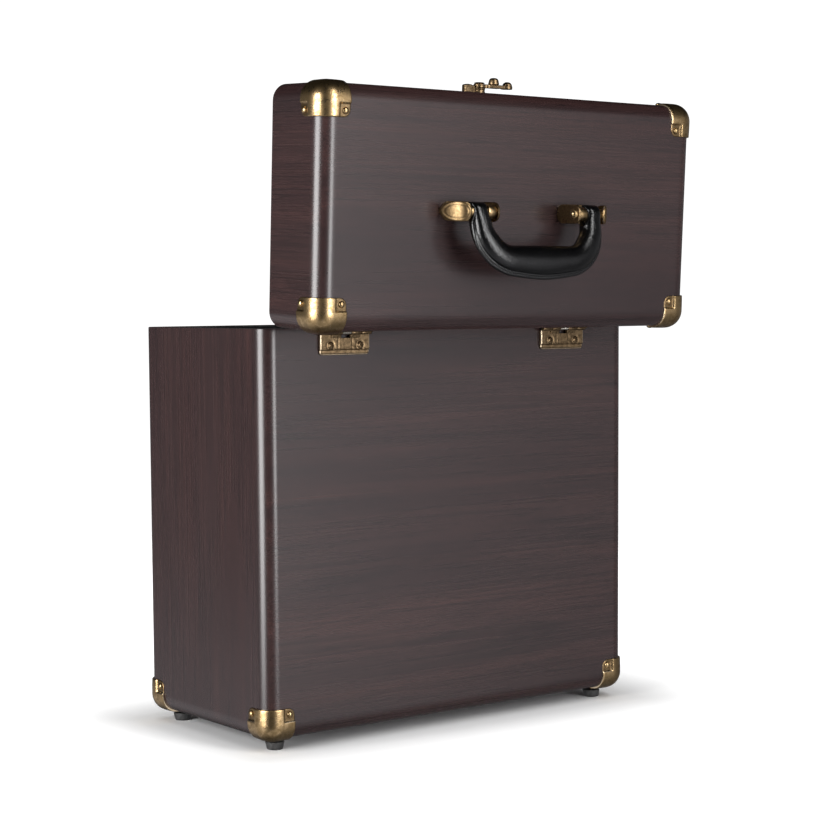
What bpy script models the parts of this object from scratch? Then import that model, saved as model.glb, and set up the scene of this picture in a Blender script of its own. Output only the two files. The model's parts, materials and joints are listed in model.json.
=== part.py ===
"""Record carrying case with a hinged lid, a swinging handle and a swing-arm latch.

Units are metres, +Z is up, the latch faces -Y and the hinges are at the back, +Y.
The origin is the centre of the underside's bare middle, so the feet reach below it.
The lid is designed closed and then turned about its hinge pins to its open stop.
"""
import math

import bmesh
import bpy
from mathutils import Matrix, Vector

for old in list(bpy.data.objects):
    bpy.data.objects.remove(old, do_unlink=True)

# ---------------------------------------------------------------- driving dimensions
WIDTH = 0.350                 # outside, along X
DEPTH = 0.170                 # outside, along Y
CASE_HEIGHT = 0.2985          # underside to rim
LID_HEIGHT = 0.0605           # rim to top face
WALL = 0.009                  # board thickness
EDGE_RADIUS = 0.012           # rounded outside edges
EDGE_STEPS = 4
CORNER_RADIUS_IN = 0.003      # inside vertical corners
FOLD = 0.00015                # laminate folded under the case, proud of the underside's middle
FOLD_WIDTH = 0.028
GAP = 0.0003                  # clearance between neighbouring pieces
LINING = 0.0010               # lining thickness

LID_OPEN_DEG = 93.0           # where the stop hinges hold the lid
HINGE_OUT = 0.0045            # hinge pin's axis behind the back face
HINGE_DROP = 0.0035           # and below the rim
HINGE_X = 0.105               # hinge centres from the middle
HINGE_WIDTH = 0.0434
LEAF_HEIGHT = 0.0163          # from the pin's axis to the leaf's far edge
LEAF_THICK = 0.0026
LEDGE_THICK = 0.0015
LEDGE_HEIGHT = 0.0036
KNUCKLE_RADIUS = 0.0017
PIN_RADIUS = 0.0008
PIN_HOLE_RADIUS = 0.0010
SPRING_RADIUS = 0.0015
SPRING_HALF = 0.0042          # half the length of the coil between the knuckles
CASE_KNUCKLE_END = 0.0125     # case knuckles reach this far from the hinge centre
HINGE_SCREW_X = 0.0131
HINGE_SCREW_Z = 0.0094        # from the pin's axis

CAP_REACH = 0.0240            # how far each wing of a corner cap reaches
CAP_SHEET = 0.0008            # cap metal thickness
CAP_LIFT_EDGE = 0.0004        # inner face above the board at the wing's free edges
CAP_LIFT_MID = 0.0018         # and over the corner, where the cap is domed
CAP_CORNER = 0.0055           # rounding of each wing's free corner
CAP_NAIL = 0.0195             # nail centres from the corner
CAP_STEPS = (0.0, 0.0045, 0.0080, 0.0120, 0.0165, 0.0205, 0.0240)
NAIL_RADIUS = 0.0021
NAIL_RISE = 0.0013

FOOT_INSET = 0.0192
FOOT_HEIGHT = 0.0092
FOOT_RADIUS_TOP = 0.0070
FOOT_RADIUS_LOW = 0.0061
FOOT_RECESS_RADIUS = 0.0036
FOOT_RECESS_DEPTH = 0.0042
FOOT_BORE_RADIUS = 0.0019

PIVOT_RISE = 0.0190           # handle pin's axis above the lid's top face
HANDLE_TILT_DEG = 75.0        # handle plane from the lid's normal, towards the hinges
ARM_X = 0.0515                # middle of each end loop
ARM_HALF = 0.0090             # half the loop's width along the pin
LOOP_RADIUS = 0.0070
GRIP_DROP = 0.0350            # pin's axis to the middle of the grip
GRIP_HALF = 0.0105            # half the grip's depth at its bends, in the handle's plane
GRIP_SWELL = 0.0020           # added to that half depth at the middle
GRIP_BOW = 0.0015             # sag of the centreline between the bends
GRIP_ROUND = 0.0076           # half the grip's thickness
GRIP_BEND = 0.0250            # centreline radius of the two bends
FLANGE_HALF = 0.0022          # half the thickness of the stitched outer edge
HANDLE_PIN_RADIUS = 0.0040
HANDLE_HOLE_RADIUS = 0.0043
BRACKET_WIDTH = 0.0140
BRACKET_SHEET = 0.0018
BRACKET_IN = 0.0375           # inner face of the upright ear
BRACKET_OUT = 0.0730          # foot of the curved outer strap
BRACKET_TOP_OUT = 0.0618      # where the strap's upper end stops, beside the loop
EAR_TOP = 0.0255

LATCH_X = 0.0                 # pivot of the latch arm
LATCH_UP = 0.0115             # pivot above the seam
ARM_LIFT = 0.0062             # underside of the arm above the lid's front face
ARM_THICK = 0.0027
HOOK_REACH = 0.0206           # pivot to keeper stud
STUD_RADIUS = 0.0014
STUD_HEAD_RADIUS = 0.0023
POST_RADIUS = 0.0020          # the pivot post of the latch arm
POST_HEAD_RADIUS = 0.0040
ARM_NECK = 0.0014             # half widths of the arm at its neck, its shank and its bulb
ARM_SHANK = 0.0026
ARM_BULB = 0.0043
ARM_EYE_RADIUS = 0.0043
KNOB_ALONG = 0.0137           # thumb knob's distance from the pivot
SWELL_ALONG = 0.0268          # and that of the swollen end
LATCH_SHEET = 0.0016
LATCH_BASE_LOW = (-0.0062, -0.0065)
LATCH_BASE_HIGH = (0.0160, 0.0065)
LATCH_BLOCK_LOW = (0.0079, -0.0021)
LATCH_BLOCK_HIGH = (0.0150, 0.0021)
LATCH_BLOCK_TOP = 0.0084
LATCH_BRIDGE_END = 0.0050     # the block's overhang stops here, beside the arm's eye
LATCH_BRIDGE = (0.0058, 0.0078)
LATCH_SCREW_X = 0.0114
LATCH_SCREW_Y = 0.0044
KEEPER_HALF_X = 0.0058
KEEPER_HALF_Z = 0.0090
KEEPER_SHEET = 0.0014
KEEPER_SCREW_Z = 0.0062

SCREW_RADIUS = 0.0013
SCREW_HOLE_RADIUS = 0.0016
SCREW_DEPTH = 0.0070          # into a board, or into the fitting and its board together
SHORT_SCREW_DEPTH = 0.0060
HINGE_SCREW_HEAD = (0.0027, 0.0012)         # head radius and rise
FOOT_SCREW_HEAD = (0.0030, 0.0014)
HANDLE_SCREW_HEAD = (0.0026, 0.0010)
LATCH_SCREW_HEAD = (0.0020, 0.0008)
KEEPER_SCREW_HEAD = (0.0022, 0.0009)
HANDLE_SCREW_IN = 0.0075      # handle screws from the bracket's ear
HANDLE_SCREW_OUT = 0.0205

HINGE_AXIS = Vector((0.0, DEPTH / 2 + HINGE_OUT, CASE_HEIGHT - HINGE_DROP))
LID_TOP = CASE_HEIGHT + LID_HEIGHT
SIDES = (("left", 1), ("right", -1))
ENDS = (("front", -1), ("back", 1))


# ---------------------------------------------------------------- materials
def material(name, colour, roughness, metallic=0.0):
    """A Principled material in one plain finish."""
    mat = bpy.data.materials.get(name) or bpy.data.materials.new(name)
    mat.use_nodes = True
    shader = mat.node_tree.nodes["Principled BSDF"]
    shader.inputs["Base Color"].default_value = (*colour, 1.0)
    shader.inputs["Roughness"].default_value = roughness
    shader.inputs["Metallic"].default_value = metallic
    mat.diffuse_color = (*colour, 1.0)
    return mat


FINISHES = {
    "veneer": ((0.070, 0.044, 0.040), 0.38, 0.0),
    "lining": ((0.010, 0.010, 0.011), 0.90, 0.0),
    "brass": ((0.36, 0.27, 0.13), 0.34, 1.0),
    "bronze": ((0.25, 0.19, 0.10), 0.42, 1.0),
    "spring_steel": ((0.55, 0.53, 0.48), 0.30, 1.0),
    "rubber": ((0.030, 0.032, 0.032), 0.60, 0.0),
    "leather": ((0.012, 0.012, 0.013), 0.35, 0.0),
}


def finish(obj, slot):
    """Give one object its own material, named after its slot."""
    colour, roughness, metallic = FINISHES[slot]
    mat = material(slot + "." + obj.name, colour, roughness, metallic)
    obj.data.materials.clear()
    obj.data.materials.append(mat)


# ---------------------------------------------------------------- building blocks
def empty(name, parent=None, location=(0, 0, 0), rotation=(0, 0, 0)):
    """An axis or a frame that pieces are parented to."""
    obj = bpy.data.objects.new(name, None)
    obj.empty_display_size = 0.02
    bpy.context.collection.objects.link(obj)
    obj.parent = parent
    obj.location = location
    obj.rotation_euler = rotation
    return obj


def add(name, bm, slot=None, parent=None, location=(0, 0, 0), smooth=True):
    """Turn a bmesh into a named object; without a slot it is a hidden cutter."""
    bmesh.ops.recalc_face_normals(bm, faces=bm.faces)
    mesh = bpy.data.meshes.new(name)
    bm.to_mesh(mesh)
    bm.free()
    obj = bpy.data.objects.new(name, mesh)
    bpy.context.collection.objects.link(obj)
    obj.parent = parent
    obj.location = location
    if slot is None:
        obj.hide_render = True
        obj.display_type = "WIRE"
    else:
        finish(obj, slot)
        if smooth:
            mesh.shade_smooth()
            mesh.set_sharp_from_angle(angle=math.radians(35))
    return obj


def boolean(obj, operation, other):
    """An exact boolean against a hidden form."""
    mod = obj.modifiers.new(operation.lower() + "_" + other.name, "BOOLEAN")
    mod.operation = operation
    mod.solver = "EXACT"
    mod.object = other


def box(low, high):
    """An axis-aligned block between two corners."""
    bm = bmesh.new()
    bmesh.ops.create_cube(bm, size=1.0)
    low = Vector(low)
    high = Vector(high)
    size = high - low
    bmesh.ops.scale(bm, vec=size, verts=bm.verts)
    bmesh.ops.translate(bm, vec=(low + high) / 2, verts=bm.verts)
    return bm


def bevel_where(bm, test, radius, steps):
    """Round the edges whose two ends pass a test."""
    edges = [e for e in bm.edges if test(*(v.co for v in e.verts))]
    bmesh.ops.bevel(bm, geom=edges, offset=radius, segments=steps, profile=0.5,
                    affect="EDGES", clamp_overlap=True)


def upright(a, b):
    """Whether an edge between two points runs along Z."""
    return abs(a.x - b.x) < 1e-6 and abs(a.y - b.y) < 1e-6


def frustum(low_corners, high_corners):
    """A solid between two rings of four corners that face each other."""
    bm = bmesh.new()
    low = [bm.verts.new(c) for c in low_corners]
    high = [bm.verts.new(c) for c in high_corners]
    bm.faces.new(low)
    bm.faces.new(high)
    for i in range(4):
        j = (i + 1) % 4
        bm.faces.new((low[i], low[j], high[j], high[i]))
    return bm


def turned(profile, steps, axis="Z"):
    """A solid turned about an axis; the profile runs from one pole to the other."""
    bm = bmesh.new()
    rings = []
    for radius, along in profile:
        if radius == 0.0:
            rings.append([bm.verts.new((0, 0, along))])
            continue
        turn = [2 * math.pi * k / steps for k in range(steps)]
        rings.append([bm.verts.new((radius * math.cos(t), radius * math.sin(t), along))
                      for t in turn])
    for a, b in zip(rings, rings[1:]):
        for k in range(steps):
            n = (k + 1) % steps
            face = [a[k % len(a)], a[n % len(a)], b[n % len(b)], b[k % len(b)]]
            bm.faces.new(list(dict.fromkeys(face)))
    if axis == "X":
        bmesh.ops.rotate(bm, matrix=Matrix.Rotation(math.pi / 2, 3, "Y"), verts=bm.verts)
    if axis == "Y":
        bmesh.ops.rotate(bm, matrix=Matrix.Rotation(-math.pi / 2, 3, "X"), verts=bm.verts)
    return bm


def rod(radius, start, end, steps=16, axis="Z"):
    """A plain cylinder along an axis."""
    return turned([(0.0, start), (radius, start), (radius, end), (0.0, end)], steps, axis)


def tube(outer, inner, start, end, steps=16, axis="Z"):
    """A hollow cylinder along an axis."""
    bm = turned([(inner, start), (outer, start), (outer, end), (inner, end)], steps, axis)
    low = [e for e in bm.edges if e.is_boundary]
    bmesh.ops.bridge_loops(bm, edges=low)
    return bm


def prism(outline, start, end):
    """An outline in Y and Z, drawn out along X."""
    bm = bmesh.new()
    near = [bm.verts.new((start, y, z)) for y, z in outline]
    face = bm.faces.new(near)
    far = bmesh.ops.extrude_face_region(bm, geom=[face])["geom"]
    moved = [v for v in far if isinstance(v, bmesh.types.BMVert)]
    bmesh.ops.translate(bm, vec=(end - start, 0, 0), verts=moved)
    return bm


def merged(*parts):
    """Several separate meshes in one, for a cutter with several cuts."""
    whole = bmesh.new()
    for bm in parts:
        piece = bpy.data.meshes.new("piece")
        bm.to_mesh(piece)
        bm.free()
        whole.from_mesh(piece)
        bpy.data.meshes.remove(piece)
    return whole


def moved(bm, offset, turn=None):
    """Turn a mesh and then shift it."""
    if turn is not None:
        bmesh.ops.rotate(bm, matrix=turn, verts=bm.verts)
    bmesh.ops.translate(bm, vec=offset, verts=bm.verts)
    return bm


TO_BACK = Matrix.Rotation(-math.pi / 2, 3, "X")     # +Z to +Y
TO_FRONT = Matrix.Rotation(math.pi / 2, 3, "X")     # +Z to -Y
TO_DOWN = Matrix.Rotation(math.pi, 3, "X")          # +Z to -Z


# ---------------------------------------------------------------- screws
def screw_mesh(head, depth=SCREW_DEPTH):
    """A domed screw standing on Z = 0 with its shank below and a driver recess on top."""
    radius, rise = head
    profile = [(0.0, -depth), (SCREW_RADIUS, -depth + 0.002), (SCREW_RADIUS, 0.0), (radius, 0.0)]
    profile += [(radius * 0.8, rise * 0.7), (radius * 0.3, rise), (0.0, rise - 0.0006)]
    return turned(profile, 10)


def screw_hole(depth=SCREW_DEPTH, above=0.004):
    """The hole that a screw goes down, with its clearance."""
    return rod(SCREW_HOLE_RADIUS, -depth - GAP, above, 10)


# ---------------------------------------------------------------- boards
def outer_form(name, parent, low, high, rim):
    """The rounded outside of one half of the case; the edges at its rim stay square."""
    bm = box(low, high)

    def rounds(a, b):
        return abs(a.z - rim) > 1e-6 or abs(b.z - rim) > 1e-6

    bevel_where(bm, rounds, EDGE_RADIUS, EDGE_STEPS)
    return add(name, bm, parent=parent)


def cavity_form(name, parent, low, high):
    """The hollow inside one half, with slightly rounded upright corners."""
    bm = box(low, high)

    bevel_where(bm, upright, CORNER_RADIUS_IN, 2)
    return add(name, bm, parent=parent)


def wall_ring(half, out, sign, z_shut, z_rim, swap=False):
    """Four corners of an upright wall blank at one distance out; swap turns it to face X."""
    ring = [(-half, sign * out, z_shut), (half, sign * out, z_shut),
            (half, sign * out, z_rim), (-half, sign * out, z_rim)]
    if swap:
        ring = [(y, x, z) for x, y, z in ring]
    return ring


def boards(prefix, parent, shut, rim):
    """Five mitred boards between the shut face at one height and the rim at another."""
    up = 1 if rim > shut else -1
    half_x = WIDTH / 2
    half_y = DEPTH / 2
    outer_shut = shut - FOLD if up > 0 else shut
    low = (-half_x, -half_y, min(outer_shut, rim))
    high = (half_x, half_y, max(outer_shut, rim))
    inner_shut = shut + up * WALL
    past_rim = rim + up * WALL
    outside = outer_form(prefix + "_outer_form", parent, low, high, rim)
    cavity_low = (-half_x + WALL, -half_y + WALL, min(inner_shut, past_rim))
    cavity_high = (half_x - WALL, half_y - WALL, max(inner_shut, past_rim))
    cavity = cavity_form(prefix + "_cavity_form", parent, cavity_low, cavity_high)
    deep = WALL + 0.004           # how far each mitred blank reaches inwards
    spread = GAP / math.sqrt(2)
    over = 0.002                  # blanks stand out past the rounded outside
    panels = {}
    x_out = half_x + over - spread
    y_out = half_y + over - spread
    x_in = half_x - deep - spread
    y_in = half_y - deep - spread
    z_out = shut - up * over
    z_in = shut + up * deep
    flat = "bottom" if up > 0 else "top"
    low_ring = [(-x_out, -y_out, z_out), (x_out, -y_out, z_out), (x_out, y_out, z_out),
                (-x_out, y_out, z_out)]
    high_ring = [(-x_in, -y_in, z_in), (x_in, -y_in, z_in), (x_in, y_in, z_in), (-x_in, y_in, z_in)]
    panels[flat] = frustum(low_ring, high_ring)
    wall_out = z_out + up * spread
    wall_in = z_in + up * spread
    for label, sign in ENDS:
        panels[label] = frustum(wall_ring(x_out, half_y + over, sign, wall_out, rim),
                                wall_ring(x_in, half_y - deep, sign, wall_in, rim))
    for label, sign in SIDES:
        panels[label] = frustum(wall_ring(y_out, half_x + over, sign, wall_out, rim, swap=True),
                                wall_ring(y_in, half_x - deep, sign, wall_in, rim, swap=True))
    made = {}
    for label, bm in panels.items():
        obj = add(f"{prefix}_{label}_panel", bm, "veneer", parent)
        boolean(obj, "INTERSECT", outside)
        boolean(obj, "DIFFERENCE", cavity)
        made[label] = obj
    return made


def lining(prefix, parent, shut, rim):
    """A thin cloth-covered liner inside the boards."""
    up = 1 if rim > shut else -1
    inset = WALL + GAP
    x = WIDTH / 2 - inset
    y = DEPTH / 2 - inset
    z_shut = shut + up * inset
    z_rim = rim - up * 0.0006
    bm = box((-x, -y, min(z_shut, z_rim)), (x, y, max(z_shut, z_rim)))

    bevel_where(bm, upright, CORNER_RADIUS_IN, 2)
    obj = add(prefix + "_lining", bm, "lining", parent)
    x -= LINING
    y -= LINING
    hollow_shut = z_shut + up * LINING
    hollow_rim = rim + up * 0.005
    hollow = box((-x, -y, min(hollow_shut, hollow_rim)), (x, y, max(hollow_shut, hollow_rim)))
    bevel_where(hollow, upright, CORNER_RADIUS_IN - LINING, 2)
    boolean(obj, "DIFFERENCE", add(prefix + "_lining_hollow", hollow, parent=parent))


# ---------------------------------------------------------------- corner caps
def cap_point(face, u, v, lift):
    """A point over the rounded corner at the origin, whose sides run towards +X, +Y and +Z."""
    free = CAP_REACH - CAP_CORNER
    du = max(u - free, 0.0)
    dv = max(v - free, 0.0)
    if du > 0.0 and dv > 0.0:
        shrink = max(du, dv) / math.hypot(du, dv)
        u = free + du * shrink
        v = free + dv * shrink
    flat = [u, v]
    flat.insert(face, 0.0)
    point = Vector(flat)
    core = Vector([max(c, EDGE_RADIUS) for c in point])
    out = (point - core).normalized()
    return core + out * (EDGE_RADIUS + lift)


def cap_lift(u, v):
    """The dome's height: full over the corner, falling to the free edges."""
    edge = 1.0 - max(u, v) / CAP_REACH
    swell = min(1.0, edge / 0.35)
    return CAP_LIFT_EDGE + (CAP_LIFT_MID - CAP_LIFT_EDGE) * math.sin(swell * math.pi / 2)


def cap_mesh(sx, sy, sz):
    """A three-winged domed sheet cap for one corner, mirrored by the signs."""
    bm = bmesh.new()
    n = len(CAP_STEPS)
    for layer in (0.0, CAP_SHEET):
        for face in range(3):
            grid = {}
            for i, u in enumerate(CAP_STEPS):
                for j, v in enumerate(CAP_STEPS):
                    co = cap_point(face, u, v, cap_lift(u, v) + layer)
                    grid[i, j] = bm.verts.new((co.x * -sx, co.y * -sy, co.z * -sz))
            for i in range(n - 1):
                for j in range(n - 1):
                    bm.faces.new((grid[i, j], grid[i + 1, j], grid[i + 1, j + 1], grid[i, j + 1]))
    bmesh.ops.remove_doubles(bm, verts=bm.verts, dist=1e-6)
    bmesh.ops.bridge_loops(bm, edges=[e for e in bm.edges if e.is_boundary])
    return bm


def cap_nails(sx, sy, sz, wings):
    """The domed nail heads of one cap, one on each wing that is nailed."""
    nails = []
    lift = cap_lift(CAP_NAIL, CAP_NAIL) + CAP_SHEET
    for face in wings:
        profile = [(0.0, -0.0005), (NAIL_RADIUS, -0.0005), (NAIL_RADIUS, 0.0002)]
        profile += [(NAIL_RADIUS * 0.75, NAIL_RISE * 0.75), (0.0, NAIL_RISE)]
        nail = turned(profile, 7)
        axis = Vector((0, 0, 0))
        axis[face] = -1.0
        turn = Vector((0, 0, 1)).rotation_difference(axis).to_matrix()
        place = [CAP_NAIL, CAP_NAIL]
        place.insert(face, -lift)
        moved(nail, Vector(place), turn)
        bmesh.ops.scale(nail, vec=(-sx, -sy, -sz), verts=nail.verts)
        nails.append(nail)
    return merged(*nails)


def corner_cap(name, parent, sx, sy, sz, z_face, wings=(0, 1, 2)):
    """One corner cap with its nails, on the corner of a board box."""
    corner = Vector((sx * WIDTH / 2, sy * DEPTH / 2, z_face))
    obj = add(name, cap_mesh(sx, sy, sz), "brass", parent, corner)
    nails = add(name + "_nail_form", cap_nails(sx, sy, sz, wings), parent=parent, location=corner)
    boolean(obj, "UNION", nails)
    return obj


# ---------------------------------------------------------------- feet
def foot(label_x, sx, label_y, sy, cap, holes):
    """A tapered rubber foot under a corner cap's lower wing, with its screw in a recess."""
    x = sx * (WIDTH / 2 - FOOT_INSET)
    y = sy * (DEPTH / 2 - FOOT_INSET)
    top = -GAP - CAP_LIFT_MID - CAP_SHEET - GAP
    low = -FOOT_HEIGHT
    seat = low + FOOT_RECESS_DEPTH
    profile = [(FOOT_BORE_RADIUS, seat), (FOOT_RECESS_RADIUS, seat), (FOOT_RECESS_RADIUS, low)]
    profile += [(FOOT_RADIUS_LOW - 0.0008, low), (FOOT_RADIUS_LOW, low + 0.0008)]
    profile += [(FOOT_RADIUS_TOP, top - 0.0006), (FOOT_RADIUS_TOP - 0.0006, top)]
    profile += [(FOOT_BORE_RADIUS, top)]
    bm = turned(profile, 14)
    bmesh.ops.bridge_loops(bm, edges=[e for e in bm.edges if e.is_boundary])
    add(f"foot_{label_y}_{label_x}", bm, "rubber", None, (x, y, 0))
    head_seat = seat - GAP
    depth = SCREW_DEPTH - head_seat
    screw = moved(screw_mesh(FOOT_SCREW_HEAD, depth), (x, y, head_seat), TO_DOWN)
    add(f"foot_screw_{label_y}_{label_x}", screw, "bronze")
    holes.append(moved(screw_hole(SCREW_DEPTH, 0.006), (x, y, 0), TO_DOWN))
    cap_hole = moved(screw_hole(SCREW_DEPTH, 0.006), (x, y, 0), TO_DOWN)
    boolean(cap, "DIFFERENCE", add(cap.name + "_hole", cap_hole))


# ---------------------------------------------------------------- hinges
def leaf_outline(up):
    """A hinge leaf in section, round the pin's axis; up is -1 for the case and 1 for the lid."""
    face = -HINGE_OUT + GAP
    pad = face + LEAF_THICK
    ledge = face + LEDGE_THICK
    far = LEAF_HEIGHT
    step = far - LEDGE_HEIGHT
    root = HINGE_DROP + 0.0003 if up > 0 else 0.0012
    outline = [(face, root), (face, far), (ledge - 0.0005, far), (ledge, far - 0.0005)]
    outline += [(ledge, step), (pad - 0.0006, step - 0.0001), (pad, step - 0.0007)]
    outline += [(pad, max(root, 0.0036)), (0.0004, KNUCKLE_RADIUS * 0.93)]
    outline += [(-0.0010, 0.0011), (pad - 0.0014, max(root, 0.0028))]
    if up < 0:
        outline = [(y, -z) for y, z in outline]
    return outline


def hinge_leaf(name, parent, up, origin, knuckles):
    """A stamped leaf with its knuckles round the pin."""
    half = HINGE_WIDTH / 2
    obj = add(name, prism(leaf_outline(up), -half, half), "bronze", parent, origin, smooth=False)
    barrels = [rod(KNUCKLE_RADIUS, a, b, 12, "X") for a, b in knuckles]
    barrel_form = add(name + "_knuckle_form", merged(*barrels), parent=parent, location=origin)
    boolean(obj, "UNION", barrel_form)
    return obj


def clear_slots(name, parent, origin, spans):
    """Clears the other leaf's knuckles out of one leaf."""
    clear = KNUCKLE_RADIUS + GAP
    tall = clear + 0.0012
    taller = 0.0045
    out = clear + 0.001
    pad = -HINGE_OUT + GAP + LEAF_THICK + GAP
    cuts = []
    for a, b in spans:
        cuts.append(box((a, pad, -taller), (b, out, taller)))
        cuts.append(box((a, -clear, -tall), (b, out, tall)))
    return [add(f"{name}_{k}", bm, parent=parent, location=origin) for k, bm in enumerate(cuts)]


def hinge(label, sx, lid_frame, case_holes, lid_holes):
    """One stop hinge: two leaves, a pin, a coil spring and four screws."""
    case_at = Vector((sx * HINGE_X, HINGE_AXIS.y, HINGE_AXIS.z))
    lid_at = Vector((sx * HINGE_X, 0, 0))
    half = HINGE_WIDTH / 2
    split = CASE_KNUCKLE_END
    case_knuckles = [(-split, -SPRING_HALF), (SPRING_HALF, split)]
    lid_knuckles = [(-half, -split - GAP), (split + GAP, half)]
    case_leaf = hinge_leaf(f"hinge_case_leaf_{label}", None, -1, case_at, case_knuckles)
    lid_leaf = hinge_leaf(f"hinge_lid_leaf_{label}", lid_frame, 1, lid_at, lid_knuckles)
    end = half + 0.001
    outer_spans = [(-end, -split), (split, end)]
    inner_spans = [(-split - GAP, split + GAP)]
    middle = [(-SPRING_HALF, SPRING_HALF)]
    for cut in clear_slots(f"hinge_case_clear_{label}", None, case_at, outer_spans + middle):
        boolean(case_leaf, "DIFFERENCE", cut)
    for cut in clear_slots(f"hinge_lid_clear_{label}", lid_frame, lid_at, inner_spans):
        boolean(lid_leaf, "DIFFERENCE", cut)
    for leaf, frame, at in ((case_leaf, None, case_at), (lid_leaf, lid_frame, lid_at)):
        bore = rod(PIN_HOLE_RADIUS, -end, end, 10, "X")
        boolean(leaf, "DIFFERENCE", add(leaf.name + "_bore", bore, parent=frame, location=at))
    add(f"hinge_pin_{label}", rod(PIN_RADIUS, GAP - half, half - GAP, 10, "X"), "bronze",
        None, case_at)
    coil_half = SPRING_HALF - GAP
    coil = tube(SPRING_RADIUS, PIN_HOLE_RADIUS, -coil_half, coil_half, 12, "X")
    add(f"hinge_spring_{label}", coil, "spring_steel", None, case_at)
    seat = -HINGE_OUT + GAP + LEAF_THICK + GAP
    for side, dx in (("a", HINGE_SCREW_X), ("b", -HINGE_SCREW_X)):
        for half_name, frame, at, z in (("case", None, case_at, -HINGE_SCREW_Z),
                                        ("lid", lid_frame, lid_at, HINGE_SCREW_Z)):
            place = Vector((dx, seat, z))
            screw = moved(screw_mesh(HINGE_SCREW_HEAD), place, TO_BACK)
            add(f"hinge_{half_name}_screw_{label}_{side}", screw, "bronze", frame, at)
            leaf = case_leaf if half_name == "case" else lid_leaf
            hole = moved(screw_hole(), place, TO_BACK)
            boolean(leaf, "DIFFERENCE", add(f"{leaf.name}_hole_{side}", hole, parent=frame,
                                            location=at))
            board_hole = moved(screw_hole(), place + at, TO_BACK)
            (case_holes if half_name == "case" else lid_holes).append(board_hole)


# ---------------------------------------------------------------- handle
def grip_section(blend, thickness, half):
    """One section of the handle: blend 0 is an end loop, 1 is the grip's stitched teardrop."""
    points = []
    steps = 14
    for k in range(steps):
        t = 2 * math.pi * k / steps
        c = math.cos(t)
        s = math.sin(t)
        square_n = ARM_HALF * math.copysign(abs(c) ** 0.75, c)
        square_b = thickness * math.copysign(abs(s) ** 0.75, s)
        drop_n = half * c
        waist = (GRIP_ROUND - FLANGE_HALF) * (0.5 - 0.5 * c) ** 0.75 + FLANGE_HALF
        drop_b = min(waist * 1.25, GRIP_ROUND) * math.copysign(abs(s) ** 0.8, s)
        points.append((square_n + (drop_n - square_n) * blend, square_b + (drop_b - square_b) * blend))
    return points


def handle_path():
    """Stations in the handle's plane: place, outward direction, blend, thickness, half depth."""
    stations = []
    tip = LOOP_RADIUS * 0.985
    for drop in (-tip, -LOOP_RADIUS * 0.85, -LOOP_RADIUS * 0.6, -LOOP_RADIUS * 0.3, 0.0):
        thick = math.sqrt(max(LOOP_RADIUS ** 2 - drop ** 2, 0.0))
        stations.append(((ARM_X, drop), 0.0, 0.0, max(thick, 0.0011), GRIP_HALF))
    straight = GRIP_DROP - GRIP_BEND
    for share in (0.5, 1.0):
        stations.append(((ARM_X, straight * share), 0.0, 0.35 * share, LOOP_RADIUS, GRIP_HALF))
    bends = 6
    for k in range(1, bends + 1):
        turn = math.pi / 2 * k / bends
        x = ARM_X - GRIP_BEND + GRIP_BEND * math.cos(turn)
        drop = straight + GRIP_BEND * math.sin(turn)
        stations.append(((x, drop), turn, 0.35 + 0.65 * k / bends, LOOP_RADIUS, GRIP_HALF))
    mirrored = []
    for (x, drop), turn, blend, thick, half in reversed(stations):
        mirrored.append(((-x, drop), math.pi - turn, blend, thick, half))
    middle = []
    reach = ARM_X - GRIP_BEND
    for share in (0.66, 0.33, 0.0, -0.33, -0.66):
        bow = 0.5 + 0.5 * math.cos(math.pi * share)
        place = (reach * share, GRIP_DROP + GRIP_BOW * bow)
        middle.append((place, math.pi / 2, 1.0, LOOP_RADIUS, GRIP_HALF + GRIP_SWELL * bow))
    return stations + middle + mirrored


def handle(swing):
    """The padded handle, hung on the two pins."""
    bm = bmesh.new()
    rings = []
    for (x, drop), turn, blend, thick, half in handle_path():
        ring = []
        for n, b in grip_section(blend, thick, half):
            ring.append(bm.verts.new((x + n * math.cos(turn), b, -(drop + n * math.sin(turn)))))
        rings.append(ring)
    for a, b in zip(rings, rings[1:]):
        for k in range(len(a)):
            n = (k + 1) % len(a)
            bm.faces.new((a[k], a[n], b[n], b[k]))
    bm.faces.new(rings[0])
    bm.faces.new(rings[-1])
    grip = add("handle_grip", bm, "leather", swing)
    low = ARM_X - ARM_HALF - 0.004
    high = ARM_X + ARM_HALF + 0.004
    bores = merged(rod(HANDLE_HOLE_RADIUS, low, high, 16, "X"),
                   rod(HANDLE_HOLE_RADIUS, -high, -low, 16, "X"))
    boolean(grip, "DIFFERENCE", add("handle_bore_form", bores, parent=swing))


def strap_curve(reach, low, high):
    """The outer strap's curve from its foot up to its free end, X outwards and height."""
    steps = 6
    points = []
    for k in range(steps + 1):
        t = math.pi / 2 * k / steps
        rise = (high - low) * math.sin(t) ** 0.9
        points.append((BRACKET_TOP_OUT + reach * math.cos(t), low + rise))
    return points


def bracket_outline():
    """The bent strip in section: X outwards, height above the lid's top face."""
    sheet = BRACKET_SHEET
    reach = BRACKET_OUT - BRACKET_TOP_OUT
    top = PIVOT_RISE + HANDLE_PIN_RADIUS + 0.0010
    outer = strap_curve(reach, GAP, top)
    inner = strap_curve(reach - sheet, GAP + sheet, top - sheet)
    outline = [(BRACKET_IN, GAP)] + outer + inner[::-1]
    ear = BRACKET_IN + sheet
    outline += [(ear, GAP + sheet), (ear, EAR_TOP), (BRACKET_IN, EAR_TOP)]
    return outline


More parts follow.
